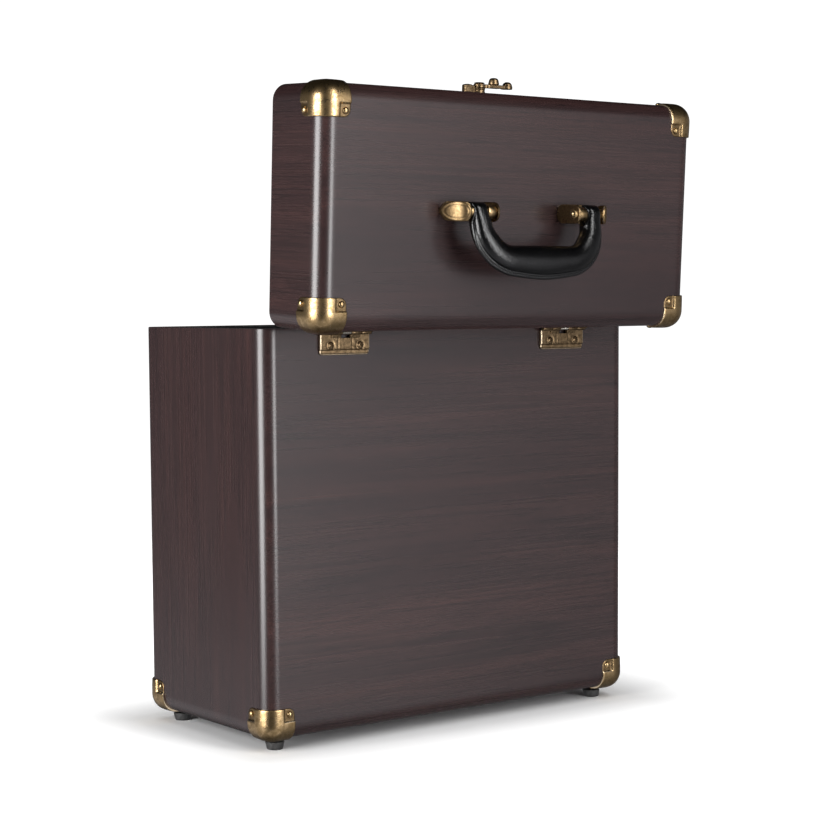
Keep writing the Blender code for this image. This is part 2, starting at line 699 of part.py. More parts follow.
def bracket(label, sx, lid_frame, origin, lid_holes):
    """A bent bracket, its pin and its two screws."""
    bm = bmesh.new()
    half = BRACKET_WIDTH / 2
    near = [bm.verts.new((sx * x, -half, z)) for x, z in bracket_outline()]
    face = bm.faces.new(near)
    far = bmesh.ops.extrude_face_region(bm, geom=[face])["geom"]
    shifted = [v for v in far if isinstance(v, bmesh.types.BMVert)]
    bmesh.ops.translate(bm, vec=(0, BRACKET_WIDTH, 0), verts=shifted)
    obj = add(f"handle_bracket_{label}", bm, "brass", lid_frame, origin, smooth=False)
    pin_in = BRACKET_IN - 0.0012
    pin_out = BRACKET_TOP_OUT + 0.0025
    span = (pin_in, pin_out) if sx > 0 else (-pin_out, -pin_in)
    at = origin + Vector((0, 0, PIVOT_RISE))
    bore = rod(HANDLE_PIN_RADIUS + GAP, span[0] - GAP, span[1] + GAP, 16, "X")
    boolean(obj, "DIFFERENCE", add(f"handle_bracket_bore_{label}", bore, parent=lid_frame,
                                   location=at))
    add(f"handle_pin_{label}", rod(HANDLE_PIN_RADIUS, span[0], span[1], 16, "X"), "brass",
        lid_frame, at)
    seat = GAP + BRACKET_SHEET + GAP
    for side, along in (("a", HANDLE_SCREW_IN), ("b", HANDLE_SCREW_OUT)):
        place = origin + Vector((sx * (BRACKET_IN + along), 0, seat))
        screw = moved(screw_mesh(HANDLE_SCREW_HEAD), place)
        add(f"handle_screw_{label}_{side}", screw, "brass", lid_frame)
        hole = moved(screw_hole(), place)
        boolean(obj, "DIFFERENCE", add(f"handle_bracket_hole_{label}_{side}", hole,
                                       parent=lid_frame))
        lid_holes.append(moved(screw_hole(), place))


# ---------------------------------------------------------------- latch
def arm_half_width(along):
    """Half the latch arm's width at a distance from its pivot."""
    shoulder = 0.0075
    bulb_at = SWELL_ALONG - 0.0006
    bulb_half = 0.0044
    if along < shoulder:
        return ARM_NECK + (ARM_SHANK - ARM_NECK) * max(0.0, along / shoulder * 3 - 2)
    reach = min(1.0, abs(along - bulb_at) / bulb_half)
    bulb = ARM_BULB * math.sqrt(1.0 - reach * reach)
    return max(ARM_SHANK, bulb) if along < bulb_at else bulb


def arm_outline():
    """The arm seen from the front, pointing along -X, with its hook notch open towards -Y."""
    notch = STUD_RADIUS + 0.0004
    neck = [0.0044, 0.0060, 0.0075, 0.0180]
    bulb = [0.0228, 0.0241, 0.0262, 0.0282, 0.0298]
    tip = 0.0306
    upper = [(-along, arm_half_width(along)) for along in neck + bulb]
    beyond = [(-along, -arm_half_width(along)) for along in (bulb[-1], bulb[-2])]
    points = upper + [(-tip, 0.0)] + beyond
    steps = 8
    mouth = arm_half_width(HOOK_REACH)
    points.append((-HOOK_REACH - notch, -mouth))
    for k in range(steps + 1):
        t = math.pi - math.pi * k / steps
        points.append((-HOOK_REACH + notch * math.cos(t), notch * math.sin(t)))
    points.append((-HOOK_REACH + notch, -mouth))
    points += [(-along, -arm_half_width(along)) for along in reversed(neck)]
    first = math.asin(arm_half_width(neck[0]) / ARM_EYE_RADIUS)
    turns = 14
    for k in range(1, turns):
        t = math.pi + first + (2 * math.pi - 2 * first) * k / turns
        points.append((ARM_EYE_RADIUS * math.cos(t), ARM_EYE_RADIUS * math.sin(t)))
    return points


def latch_arm(pivot):
    """The swinging arm: eye, neck, thumb knob, hook notch and bulbous end."""
    low = ARM_LIFT
    high = ARM_LIFT + ARM_THICK
    bm = bmesh.new()
    face = bm.faces.new([bm.verts.new((x, y, low)) for x, y in arm_outline()])
    grown = bmesh.ops.extrude_face_region(bm, geom=[face])["geom"]
    raised = [v for v in grown if isinstance(v, bmesh.types.BMVert)]
    bmesh.ops.translate(bm, vec=(0, 0, ARM_THICK), verts=raised)
    arm = add("latch_arm", bm, "bronze", pivot, smooth=False)
    profile = [(0.0, -0.0006), (0.0023, -0.0006), (0.0040, 0.0004), (0.0039, 0.0020)]
    profile += [(0.0034, 0.0036), (0.0023, 0.0047), (0.0, 0.0051)]
    knob = moved(turned(profile, 12), (-KNOB_ALONG, 0, high))
    boolean(arm, "UNION", add("latch_knob_form", knob, parent=pivot))
    profile = [(0.0, -0.0006), (0.0034, -0.0006), (0.0034, 0.0006), (0.0027, 0.0020), (0.0, 0.0029)]
    swell = moved(turned(profile, 12), (-SWELL_ALONG, 0, high))
    boolean(arm, "UNION", add("latch_swell_form", swell, parent=pivot))
    bore = rod(POST_RADIUS + GAP, low - ARM_THICK, high + ARM_THICK, 14)
    boolean(arm, "DIFFERENCE", add("latch_arm_bore", bore, parent=pivot))


def latch_base(face_frame, lid_holes):
    """The base casting with its pivot post, and its screws, on the lid's front."""
    low = GAP
    top = low + LATCH_SHEET
    buried = low + 0.0010
    plate = box((*LATCH_BASE_LOW, low), (*LATCH_BASE_HIGH, top))
    bevel_where(plate, upright, 0.0030, 2)
    base = add("latch_base", plate, "bronze", face_frame)
    under = ARM_LIFT - GAP
    over = ARM_LIFT + ARM_THICK + GAP
    profile = [(0.0, buried), (0.0045, buried), (0.0041, under), (POST_RADIUS, under)]
    profile += [(POST_RADIUS, over), (POST_HEAD_RADIUS, over), (POST_HEAD_RADIUS - 0.0005, over + 0.0006)]
    profile += [(0.0018, over + 0.0009), (0.0, over + 0.0010)]
    boolean(base, "UNION", add("latch_post_form", turned(profile, 14), parent=face_frame))
    block = box((*LATCH_BLOCK_LOW, buried), (*LATCH_BLOCK_HIGH, LATCH_BLOCK_TOP))

    def at_top(a, b):
        return min(a.z, b.z) > LATCH_BLOCK_TOP - 1e-6

    bevel_where(block, at_top, 0.0010, 2)
    boolean(base, "UNION", add("latch_block_form", block, parent=face_frame))
    half = LATCH_BLOCK_HIGH[1] - 0.0003
    middle = (LATCH_BLOCK_LOW[0] + LATCH_BLOCK_HIGH[0]) / 2
    bridge = box((LATCH_BRIDGE_END, -half, LATCH_BRIDGE[0]), (middle, half, LATCH_BRIDGE[1]))
    boolean(base, "UNION", add("latch_bridge_form", bridge, parent=face_frame))
    for side, sign in (("a", 1), ("b", -1)):
        place = Vector((LATCH_SCREW_X, sign * LATCH_SCREW_Y, top + GAP))
        screw = moved(screw_mesh(LATCH_SCREW_HEAD, SHORT_SCREW_DEPTH), place)
        add(f"latch_screw_{side}", screw, "bronze", face_frame)
        hole = moved(screw_hole(), place)
        boolean(base, "DIFFERENCE", add(f"latch_base_hole_{side}", hole, parent=face_frame))
        on_board = TO_FRONT @ place + face_frame.location
        lid_holes.append(moved(screw_hole(SHORT_SCREW_DEPTH), on_board, TO_FRONT))


def latch_keeper(case_holes):
    """The plate on the case with the headed stud that the arm hooks over."""
    height = CASE_HEIGHT + LATCH_UP - HOOK_REACH
    frame = empty("keeper_frame", None, (LATCH_X, -DEPTH / 2, height), (math.pi / 2, 0, 0))
    plate = box((-KEEPER_HALF_X, -KEEPER_HALF_Z, GAP), (KEEPER_HALF_X, KEEPER_HALF_Z, GAP + KEEPER_SHEET))
    bevel_where(plate, upright, 0.0040, 2)
    keeper = add("latch_keeper", plate, "bronze", frame)
    buried = GAP + 0.0008
    top = ARM_LIFT + ARM_THICK + 0.0016
    profile = [(0.0, buried), (STUD_RADIUS, buried), (STUD_RADIUS, top), (STUD_HEAD_RADIUS, top)]
    profile += [(STUD_HEAD_RADIUS, top + 0.0007), (0.0017, top + 0.0014), (0.0, top + 0.0015)]
    boolean(keeper, "UNION", add("latch_stud_form", turned(profile, 14), parent=frame))
    for side, sign in (("upper", 1), ("lower", -1)):
        place = Vector((0, sign * KEEPER_SCREW_Z, GAP + KEEPER_SHEET + GAP))
        screw = moved(screw_mesh(KEEPER_SCREW_HEAD, SHORT_SCREW_DEPTH), place)
        add(f"latch_keeper_screw_{side}", screw, "bronze", frame)
        hole = moved(screw_hole(), place)
        boolean(keeper, "DIFFERENCE", add(f"keeper_hole_{side}", hole, parent=frame))
        on_board = TO_FRONT @ place + frame.location
        case_holes.append(moved(screw_hole(SHORT_SCREW_DEPTH), on_board, TO_FRONT))


# ---------------------------------------------------------------- assembly
def drill(board, parts, parent=None):
    """Cut all of one board's screw holes."""
    boolean(board, "DIFFERENCE", add(board.name + "_holes", merged(*parts), parent=parent))


def build_case():
    """The lower half: boards, liner, caps, feet and the latch keeper."""
    panels = boards("case", None, 0.0, CASE_HEIGHT)
    lining("case", None, 0.0, CASE_HEIGHT)
    foot_holes = []
    for label_x, sx in SIDES:
        for label_y, sy in ENDS:
            cap = corner_cap(f"case_corner_cap_{label_y}_{label_x}", None, sx, sy, -1, 0.0, (0, 1))
            foot(label_x, sx, label_y, sy, cap, foot_holes)
    drill(panels["bottom"], foot_holes)
    half_x = WIDTH / 2 - FOLD_WIDTH
    half_y = DEPTH / 2 - FOLD_WIDTH
    middle = add("case_underside_middle", box((-half_x, -half_y, -WALL), (half_x, half_y, 0.0)))
    boolean(panels["bottom"], "DIFFERENCE", middle)
    keeper_holes = []
    latch_keeper(keeper_holes)
    drill(panels["front"], keeper_holes)
    return panels


def build_lid(case_panels):
    """The upper half, its fittings and the moving pieces on it."""
    lid_frame = empty("lid_hinge_axis", None, HINGE_AXIS)
    lid_half = empty("lid_boards_frame", lid_frame, -HINGE_AXIS)
    seam = CASE_HEIGHT + GAP
    panels = boards("lid", lid_half, LID_TOP, seam)
    lining("lid", lid_half, LID_TOP, seam)
    for label_x, sx in SIDES:
        for label_y, sy in ENDS:
            corner_cap(f"lid_corner_cap_{label_y}_{label_x}", lid_half, sx, sy, 1, LID_TOP)
    case_back = []
    lid_back = []
    for label, sx in SIDES:
        hinge(label, sx, lid_frame, case_back, lid_back)
    drill(case_panels["back"], case_back)
    drill(panels["back"], [moved(bm, HINGE_AXIS) for bm in lid_back], lid_half)
    top_holes = []
    top_at = Vector((0, 0, LID_TOP))
    for label, sx in SIDES:
        bracket(label, sx, lid_half, top_at, top_holes)
    drill(panels["top"], top_holes, lid_half)
    tilt = math.radians(180 + HANDLE_TILT_DEG)
    swing = empty("handle_pin_axis", lid_half, top_at + Vector((0, 0, PIVOT_RISE)),
                  (-tilt, 0, 0))
    handle(swing)
    front_at = Vector((LATCH_X, -DEPTH / 2, CASE_HEIGHT + LATCH_UP))
    face = empty("latch_face_frame", lid_half, front_at, (math.pi / 2, 0, 0))
    front_holes = []
    latch_base(face, front_holes)
    drill(panels["front"], front_holes, lid_half)
    latch_arm(empty("latch_pivot_axis", face))
    lid_frame.rotation_euler = (-math.radians(LID_OPEN_DEG), 0, 0)


build_lid(build_case())
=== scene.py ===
"""Looks of a wooden record carrying case with its lid standing open, seen from the hinge side."""
import json
import math

import bmesh
import bpy
from mathutils import Matrix, Vector


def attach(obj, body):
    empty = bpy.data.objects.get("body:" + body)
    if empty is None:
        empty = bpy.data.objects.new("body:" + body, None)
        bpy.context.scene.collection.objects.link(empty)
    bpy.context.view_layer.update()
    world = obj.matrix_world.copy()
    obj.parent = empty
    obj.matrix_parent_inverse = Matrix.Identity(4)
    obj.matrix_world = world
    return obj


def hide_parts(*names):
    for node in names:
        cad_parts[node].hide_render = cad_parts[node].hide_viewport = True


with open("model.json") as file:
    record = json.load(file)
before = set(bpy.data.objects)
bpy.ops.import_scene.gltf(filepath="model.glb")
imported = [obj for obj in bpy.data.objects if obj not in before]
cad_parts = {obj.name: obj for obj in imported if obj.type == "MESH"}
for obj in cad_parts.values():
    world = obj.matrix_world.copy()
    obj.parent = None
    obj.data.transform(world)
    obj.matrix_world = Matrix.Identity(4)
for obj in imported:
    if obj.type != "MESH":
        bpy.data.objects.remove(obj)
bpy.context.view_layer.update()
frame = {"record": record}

# ---------------------------------------------------------------- dimensions, in metres
WIDTH = 0.350
DEPTH = 0.170
CASE_HEIGHT = 0.2985
LID_HEIGHT = 0.0605
LID_TOP = CASE_HEIGHT + LID_HEIGHT
WALL = 0.009
EDGE_RADIUS = 0.012
GAP = 0.0003
LINING = 0.0010
HINGE_OUT = 0.0045
HINGE_X = 0.105
HINGE_WIDTH = 0.0434
LEAF_HEIGHT = 0.0163
LEAF_THICK = 0.0026
LEDGE_THICK = 0.0015
LEDGE_HEIGHT = 0.0036
KNUCKLE_RADIUS = 0.0017
SPRING_HALF = 0.0042
CASE_KNUCKLE_END = 0.0125
HINGE_SCREW_X = 0.0131
HINGE_SCREW_Z = 0.0094
SLOT_DEPTH = 0.0040            # the leaves are cut back this far beside the other leaf's knuckles
CAP_REACH = 0.0240
CAP_SHEET = 0.0008
CAP_CORNER = 0.0055
CAP_NAIL = 0.0195
CAP_PAD = 0.0146              # the stepped pad round each nail starts here
CAP_DOME = 0.0008              # how far the cap stands off the board
CAP_SWELL = 0.0002             # and how much more in its middle
CAP_SINK = 0.0003              # how far its nail pads are pressed in
NAIL_RADIUS = 0.0025
NAIL_RISE = 0.0016
FOOT_INSET = 0.0192
FOOT_HEIGHT = 0.0092
PIVOT_RISE = 0.0190
ARM_X = 0.0515
LOOP_HALF = 0.0065             # half the loop's width along the pin
LOOP_OUT = 0.0019              # its middle is this far outside the arm's
LOOP_RADIUS = 0.0070
GRIP_DROP = 0.0350
GRIP_BEND = 0.0250
GRIP_HALF = 0.0105              # half the grip's depth at its bends, in the handle's plane
GRIP_SWELL = 0.0020            # added to it at the middle
GRIP_BOW = 0.0015              # sag of the centreline between the bends
GRIP_ROUND = 0.0076
FLANGE = 0.0034                # width of the flat sewn edge round the outside of the grip
FLANGE_HALF = 0.0013
PIN_RADIUS = 0.0040
BRACKET_IN = 0.0375
BRACKET_OUT = 0.0730
BRACKET_TOP_OUT = 0.0618
BRACKET_HALF = 0.0070
BRACKET_SHEET = 0.0018
LATCH_UP = 0.0115
ARM_LIFT = 0.0062
ARM_THICK = 0.0027
HOOK_REACH = 0.0206
STUD_RADIUS = 0.0014
KNOB_ALONG = 0.0137            # thumb knob's distance from the latch pivot
SWELL_ALONG = 0.0268           # and that of the arm's swollen end
KEEPER_HALF = (0.0058, 0.0090)
KEEPER_SCREW = 0.0062
LATCH_SCREW = (0.0114, 0.0044)
LATCH_PLATE = (0.0111, 0.0065, 0.0049)    # half sizes and distance of its middle from the pivot
LATCH_BLOCK = (0.00355, 0.0021, 0.01145)
LATCH_BRIDGE = (0.0024, 0.0018, 0.0075)
LATCH_WEB = (0.0022, 0.0012, 0.0064)
LATCH_RISE = 0.0016            # thickness of the latch's base plate
KEEPER_RISE = 0.0014           # and of the keeper's
ARM_EYE = 0.0043               # radius of the arm's eye round the pivot
ARM_NECK = 0.0014              # half the width of the neck beside it

joints = {joint["name"]: joint for joint in frame["record"]["behaviour"]["joints"]}
HINGE = Vector(joints["lid_hinge"]["pos_m"])
OPEN = (Matrix.Translation(HINGE) @ Matrix.Rotation(math.radians(-93), 4, "X")
        @ Matrix.Translation(-HINGE))
SIDES = (("left", 1), ("right", -1))
ENDS = (("front", -1), ("back", 1))
CORNERS = [(f"{label_y}_{label_x}", sx, sy) for label_x, sx in SIDES for label_y, sy in ENDS]
STILL = Matrix.Identity(4)


# ---------------------------------------------------------------- material nodes
def add_node(tree, kind, values=None, **settings):
    """A new shader node with the values of its inputs and its settings."""
    made = tree.nodes.new("ShaderNode" + kind)
    for key, value in settings.items():
        setattr(made, key, value)
    for key, value in (values or {}).items():
        made.inputs[key].default_value = value
    return made


def map_values(low, high, start, end):
    """The inputs of a Map Range node: start to end becomes low to high."""
    return {"From Min": start, "From Max": end, "To Min": low, "To Max": high}


class Shade:
    """A Principled material and short calls for the nodes in front of it."""

    def __init__(self, name, **sockets):
        self.mat = bpy.data.materials.new(name)
        self.mat.use_nodes = True
        self.tree = self.mat.node_tree
        self.out = self.tree.nodes["Principled BSDF"]
        for key, value in sockets.items():
            self.out.inputs[key.replace("_", " ")].default_value = value
        self.coords = self.node("TexCoord").outputs["Object"]

    def node(self, kind, values=None, **settings):
        return add_node(self.tree, kind, values, **settings)

    def link(self, source, target):
        self.tree.links.new(source, target)

    def noise(self, scale, detail=3.0, rough=0.5, distortion=0.0, stretch=(1, 1, 1), offset=(0, 0, 0)):
        mapping = self.node("Mapping", {"Scale": stretch, "Location": offset})
        self.link(self.coords, mapping.inputs["Vector"])
        made = self.node("TexNoise", {"Scale": scale, "Detail": detail, "Roughness": rough,
                                      "Distortion": distortion})
        self.link(mapping.outputs["Vector"], made.inputs["Vector"])
        return made.outputs["Fac"]

    def cells(self, scale):
        made = self.node("TexVoronoi", feature="SMOOTH_F1")
        made.inputs["Scale"].default_value = scale
        self.link(self.coords, made.inputs["Vector"])
        return made.outputs["Distance"]

    def ramp(self, fac, low, high, start=0.0, end=1.0):
        made = self.node("MapRange", map_values(low, high, start, end))
        self.link(fac, made.inputs["Value"])
        return made.outputs["Result"]

    def mix(self, fac, first, second):
        made = self.node("Mix", data_type="RGBA")
        self.link(fac, made.inputs["Factor"])
        for value, socket in ((first, made.inputs["A"]), (second, made.inputs["B"])):
            if isinstance(value, tuple):
                socket.default_value = (*value, 1.0)
            else:
                self.link(value, socket)
        return made.outputs["Result"]

    def sum(self, first, second, kind="ADD"):
        made = self.node("Math", operation=kind)
        for value, socket in ((first, made.inputs[0]), (second, made.inputs[1])):
            if isinstance(value, float):
                socket.default_value = value
            else:
                self.link(value, socket)
        return made.outputs["Value"]

    def bump(self, height, distance, strength=1.0, under=None):
        made = self.node("Bump", {"Distance": distance, "Strength": strength})
        self.link(height, made.inputs["Height"])
        if under is not None:
            self.link(under, made.inputs["Normal"])
        return made.outputs["Normal"]

    def finish(self, colour=None, roughness=None, normal=None):
        for source, key in ((colour, "Base Color"), (roughness, "Roughness"), (normal, "Normal")):
            if source is not None:
                self.link(source, self.out.inputs[key])
        return self.mat


def wood(name, grain):
    """Dark satin wood-grain laminate whose grain runs along one axis: 0 is X, 2 is Z."""
    shade = Shade(name, IOR=1.6)

    def drawn(along, across):
        scale = [across] * 3
        scale[grain] = along
        return tuple(scale)

    broad = shade.noise(1.0, 2.0, 0.5, 0.4, drawn(2.0, 13.0))
    red = shade.noise(1.0, 4.0, 0.60, 0.7, drawn(2.4, 40.0), (3.1, 7.7, 1.3))
    figure = shade.noise(1.0, 6.0, 0.62, 1.3, drawn(3.4, 64.0), (9.0, 2.0, 5.0))
    lines = shade.noise(1.0, 5.0, 0.65, 0.3, drawn(6.0, 560.0))
    pores = shade.noise(1.0, 2.0, 0.5, 0.0, drawn(60.0, 1900.0))
    colour = shade.mix(shade.ramp(broad, 0.0, 1.0, 0.35, 0.65), (0.0205, 0.0103, 0.0105),
                       (0.0272, 0.0139, 0.0136))
    colour = shade.mix(shade.ramp(red, 0.0, 0.50, 0.45, 0.72), colour, (0.050, 0.0215, 0.0190))
    colour = shade.mix(shade.ramp(figure, 0.0, 0.48, 0.50, 0.70), colour, (0.0095, 0.0062, 0.0066))
    colour = shade.mix(shade.ramp(lines, 0.0, 0.48, 0.46, 0.66), colour, (0.0080, 0.0048, 0.0052))
    colour = shade.mix(shade.ramp(pores, 0.0, 0.50, 0.54, 0.70), colour, (0.0040, 0.0030, 0.0034))
    rough = shade.sum(shade.ramp(lines, 0.0, 0.05), shade.ramp(broad, 0.22, 0.27))
    fine = shade.bump(pores, 0.00005, 0.4)
    coarse = shade.bump(lines, 0.00006, 0.24, fine)
    return shade.finish(colour, rough, coarse)


def metal(name, dark, bright, rough, mottle=260.0, dent=0.00008):
    """Antiqued plate: bright where it is rubbed and brown where the patina is left."""
    shade = Shade(name, Metallic=1.0)
    patches = shade.noise(mottle, 5.0, 0.62, 0.8)
    specks = shade.noise(mottle * 6.0, 3.0, 0.6, offset=(4.0, 1.0, 2.0))
    colour = shade.mix(shade.ramp(patches, 0.0, 1.0, 0.34, 0.66), dark, bright)
    colour = shade.mix(shade.ramp(specks, 0.0, 0.45, 0.58, 0.76), colour,
                       tuple(c * 0.45 for c in dark))
    roughness = shade.ramp(patches, rough + 0.12, rough - 0.05, 0.3, 0.7)
    soft = shade.bump(patches, dent, 0.6)
    return shade.finish(colour, roughness, shade.bump(specks, 0.00003, 0.5, soft))


def leather():
    """Black glossy pebbled leatherette."""
    shade = Shade("leatherette", Specular_IOR_Level=0.50)
    pebbles = shade.cells(1250.0)
    creases = shade.noise(420.0, 4.0, 0.6, 0.6)
    colour = shade.mix(shade.ramp(creases, 0.0, 1.0, 0.3, 0.7), (0.0006, 0.0006, 0.0007),
                       (0.0016, 0.0016, 0.0018))
    roughness = shade.ramp(creases, 0.17, 0.25)
    first = shade.bump(shade.ramp(pebbles, 1.0, 0.0, 0.05, 0.65), 0.00010, 1.0)
    return shade.finish(colour, roughness, shade.bump(creases, 0.00006, 0.2, first))


def grained(name, grain, dark, bright, rough, bump, span=(0.0, 1.0), **sockets):
    """A material whose tone, roughness and surface all follow one fine grain."""
    shade = Shade(name, **sockets)
    grain = shade.noise(*grain)
    colour = shade.mix(shade.ramp(grain, 0.0, 1.0, *span), dark, bright)
    return shade.finish(colour, shade.ramp(grain, *rough), shade.bump(grain, *bump))


def flock():
    """Black flocked lining card."""
    shade = Shade("flocked_lining", Specular_IOR_Level=0.2, Sheen_Weight=0.25, Sheen_Roughness=0.5)
    pile = shade.noise(1900.0, 3.0, 0.65)
    cloud = shade.noise(45.0, 3.0, 0.55)
    colour = shade.mix(shade.sum(pile, cloud, "MULTIPLY"), (0.0035, 0.0035, 0.0040),
                       (0.020, 0.020, 0.022))
    return shade.finish(colour, shade.ramp(pile, 0.86, 0.97), shade.bump(pile, 0.00015, 0.8))


GRAIN_X = wood("laminate_grain_across", 0)
GRAIN_Z = wood("laminate_grain_upright", 2)
BRASS = metal("antique_brass", (0.245, 0.163, 0.074), (0.57, 0.402, 0.212), 0.27)
STRAP_BRASS = metal("satin_brass", (0.135, 0.088, 0.040), (0.30, 0.205, 0.105), 0.38)
# A brighter copy of the brass: worn rims that also carry a painted highlight, and a painted highlight on
# the lower step walls of the caps' nail pads.
BRASS_WEAR_AND_HIGHLIGHT = metal("rubbed_brass_edge_and_highlight", (0.56, 0.43, 0.28), (0.86, 0.71, 0.50), 0.24)
BRONZE = metal("antique_bronze", (0.075, 0.049, 0.025), (0.34, 0.235, 0.130), 0.34, 420.0, 0.00014)
# A brighter copy of the bronze for the hinge leaves' edges: wear and a painted highlight.
BRONZE_WEAR_AND_HIGHLIGHT = metal("rubbed_bronze_edge_and_highlight", (0.44, 0.33, 0.21), (0.74, 0.61, 0.43), 0.28)
# A darker brass; on the caps' sunken nail pads it stands for patina and painted shade.
DARK_BRASS = metal("dark_brass", (0.130, 0.084, 0.040), (0.34, 0.235, 0.125), 0.30)
LEATHER = leather()
THREAD = grained("sewing_thread", (2600.0, 2.0, 0.5), (0.006, 0.006, 0.007), (0.020, 0.020, 0.021),
                 (0.42, 0.58), (0.00010, 0.6), Specular_IOR_Level=0.4)
RUBBER = grained("moulded_rubber", (380.0, 4.0, 0.6), (0.022, 0.022, 0.022), (0.062, 0.060, 0.059),
                 (0.48, 0.66), (0.00005, 0.5), (0.35, 0.75), Specular_IOR_Level=0.4)
FLOCK = flock()
WIRE = grained("spring_wire", (1400.0, 3.0, 0.6), (0.42, 0.39, 0.34), (0.72, 0.69, 0.62),
               (0.22, 0.36), (0.00002, 0.5), Metallic=1.0)


# ---------------------------------------------------------------- mesh helpers
def add_object(name, data):
    """A new object in the scene."""
    obj = bpy.data.objects.new(name, data)
    bpy.context.collection.objects.link(obj)
    return obj


def piece(name, bm, mats, body, nodes=(), at=STILL, angle=35.0):
    """Make one visible piece, put it in place, attach it to the body it rides on, and hide the CAD parts
    it stands for.
    """
    mesh = bpy.data.meshes.new(name)
    bm.to_mesh(mesh)
    bm.free()
    obj = add_object(name, mesh)
    for mat in mats:
        mesh.materials.append(mat)
    mesh.shade_smooth()
    mesh.set_sharp_from_angle(angle=math.radians(angle))
    obj.matrix_world = at
    bpy.context.view_layer.update()
    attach(obj, body)
    if nodes:
        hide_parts(*nodes)
    return obj


def join(*parts):
    """Several meshes in one; each may be given as (mesh, material index)."""
    whole = bmesh.new()
    for part in parts:
        bm, index = part if isinstance(part, tuple) else (part, None)
        if index is not None:
            for face in bm.faces:
                face.material_index = index
        spare = bpy.data.meshes.new("spare")
        bm.to_mesh(spare)
        bm.free()
        whole.from_mesh(spare)
        bpy.data.meshes.remove(spare)
    return whole


def placed(bm, matrix):
    """A mesh moved by a matrix."""
    bmesh.ops.transform(bm, matrix=matrix, verts=bm.verts)
    if matrix.determinant() < 0:
        bmesh.ops.reverse_faces(bm, faces=bm.faces)
    return bm


def shift(x, y, z):
    """A move as a matrix."""
    return Matrix.Translation((x, y, z))


def spin(degrees, axis):
    """A turn about an axis as a matrix."""
    return Matrix.Rotation(math.radians(degrees), 4, axis)


def smooth(x, low, high):
    """A smooth step from 0 at low to 1 at high."""
    t = min(1.0, max(0.0, (x - low) / (high - low)))
    return t * t * (3 - 2 * t)


def band(bm, first, second):
    """Faces between two rings of vertices; a ring of one vertex is a pole."""
    count = max(len(first), len(second))
    for k in range(count):
        n = (k + 1) % count
        face = [first[k % len(first)], first[n % len(first)],
                second[n % len(second)], second[k % len(second)]]
        bm.faces.new(list(dict.fromkeys(face)))


def grid_skin(bm, grid):
    """Faces over vertices keyed by row and column, each returned with its row and column."""
    made = []
    for i, j in sorted(grid):
        if (i + 1, j + 1) in grid:
            corners = (grid[i, j], grid[i + 1, j], grid[i + 1, j + 1], grid[i, j + 1])
            made.append((i, j, bm.faces.new(corners)))
    return made


def loft(levels):
    """A closed skin through levels that all have the same number of points."""
    bm = bmesh.new()
    rings = [[bm.verts.new(point) for point in level] for level in levels]
    for first, second in zip(rings, rings[1:]):
        band(bm, first, second)
    bm.faces.new(rings[0])
    bm.faces.new(rings[-1])
    bmesh.ops.recalc_face_normals(bm, faces=bm.faces)
    return bm


def turned(profile, steps=32):
    """A solid turned about Z from (radius, height) pairs, pole to pole or an open ring."""
    bm = bmesh.new()
    rings = []
    for radius, high in profile:
        if radius == 0.0:
            rings.append([bm.verts.new((0, 0, high))])
            continue
        ring = []
        for k in range(steps):
            t = 2 * math.pi * k / steps
            ring.append(bm.verts.new((radius * math.cos(t), radius * math.sin(t), high)))
        rings.append(ring)
    for first, second in zip(rings, rings[1:]):
        band(bm, first, second)
    bmesh.ops.recalc_face_normals(bm, faces=bm.faces)
    return bm


def cylinder(radius, start, end, chamfer=0.0003, steps=28, axis="Z"):
    """A rod with softened ends, along Z or X."""
    profile = [(0.0, start), (radius - chamfer, start), (radius - chamfer * 0.3, start + chamfer * 0.3),
               (radius, start + chamfer), (radius, end - chamfer),
               (radius - chamfer * 0.3, end - chamfer * 0.3), (radius - chamfer, end), (0.0, end)]
    bm = turned(profile, steps)
    if axis == "X":
        placed(bm, spin(90, "Y"))
    return bm


def spaced(low, high, count, fine=()):
    """Grid lines between two ends, with extra fine ones just inside both."""
    lines = {round(low + (high - low) * k / count, 7) for k in range(count + 1)}
    for step in fine:
        lines.add(round(low + step, 7))
        lines.add(round(high - step, 7))
    return sorted(lines)


def round_corner(u, v, half_u, half_v, radius):
    """Pull a point of a rectangle in so that the rectangle's corners are round."""
    du = abs(u) - (half_u - radius)
    dv = abs(v) - (half_v - radius)
    if du <= 0 or dv <= 0:
        return u, v
    shrink = max(du, dv) / math.hypot(du, dv)
    u = math.copysign(half_u - radius + du * shrink, u)
    v = math.copysign(half_v - radius + dv * shrink, v)
    return u, v


def relief(half_u, half_v, radius, height, base, counts=(36, 20), edge=0.0005):
    """A rounded plate: its top is a height over a grid, softened at the rim, on straight sides."""
    fine = (edge * 0.25, edge * 0.6, edge)
    us = spaced(-half_u, half_u, counts[0], fine)
    vs = spaced(-half_v, half_v, counts[1], fine)
    bm = bmesh.new()
    grid = {}
    for i, u in enumerate(us):
        for j, v in enumerate(vs):
            inside = min(half_u - abs(u), half_v - abs(v))
            near = 1 - min(1.0, max(0.0, inside) / edge)
            drop = edge * (1 - math.sqrt(max(0.0, 1 - near * near)))
            x, y = round_corner(u, v, half_u, half_v, radius)
            grid[i, j] = bm.verts.new((x, y, height(u, v) - drop))
    grid_skin(bm, grid)
    skirt(bm, lambda co: Vector((co.x, co.y, base)))
    return bm


def skirt(bm, foot, index=None):
    """Drop a sheet's free edges to their feet."""
    border = [e for e in bm.edges if e.is_boundary]
    grown = bmesh.ops.extrude_edge_only(bm, edges=border)["geom"]
    for item in grown:
        if isinstance(item, bmesh.types.BMVert):
            item.co = foot(item.co)
        elif isinstance(item, bmesh.types.BMFace) and index is not None:
            item.material_index = index
    bmesh.ops.recalc_face_normals(bm, faces=bm.faces)


def sweep(points, frames, section):
    """A skin over sections: each station has its place, its two directions and its outline."""
    levels = []
    for k, (point, (first, second)) in enumerate(zip(points, frames)):
        levels.append([point + first * a + second * b for a, b in section(k)])
    return loft(levels)


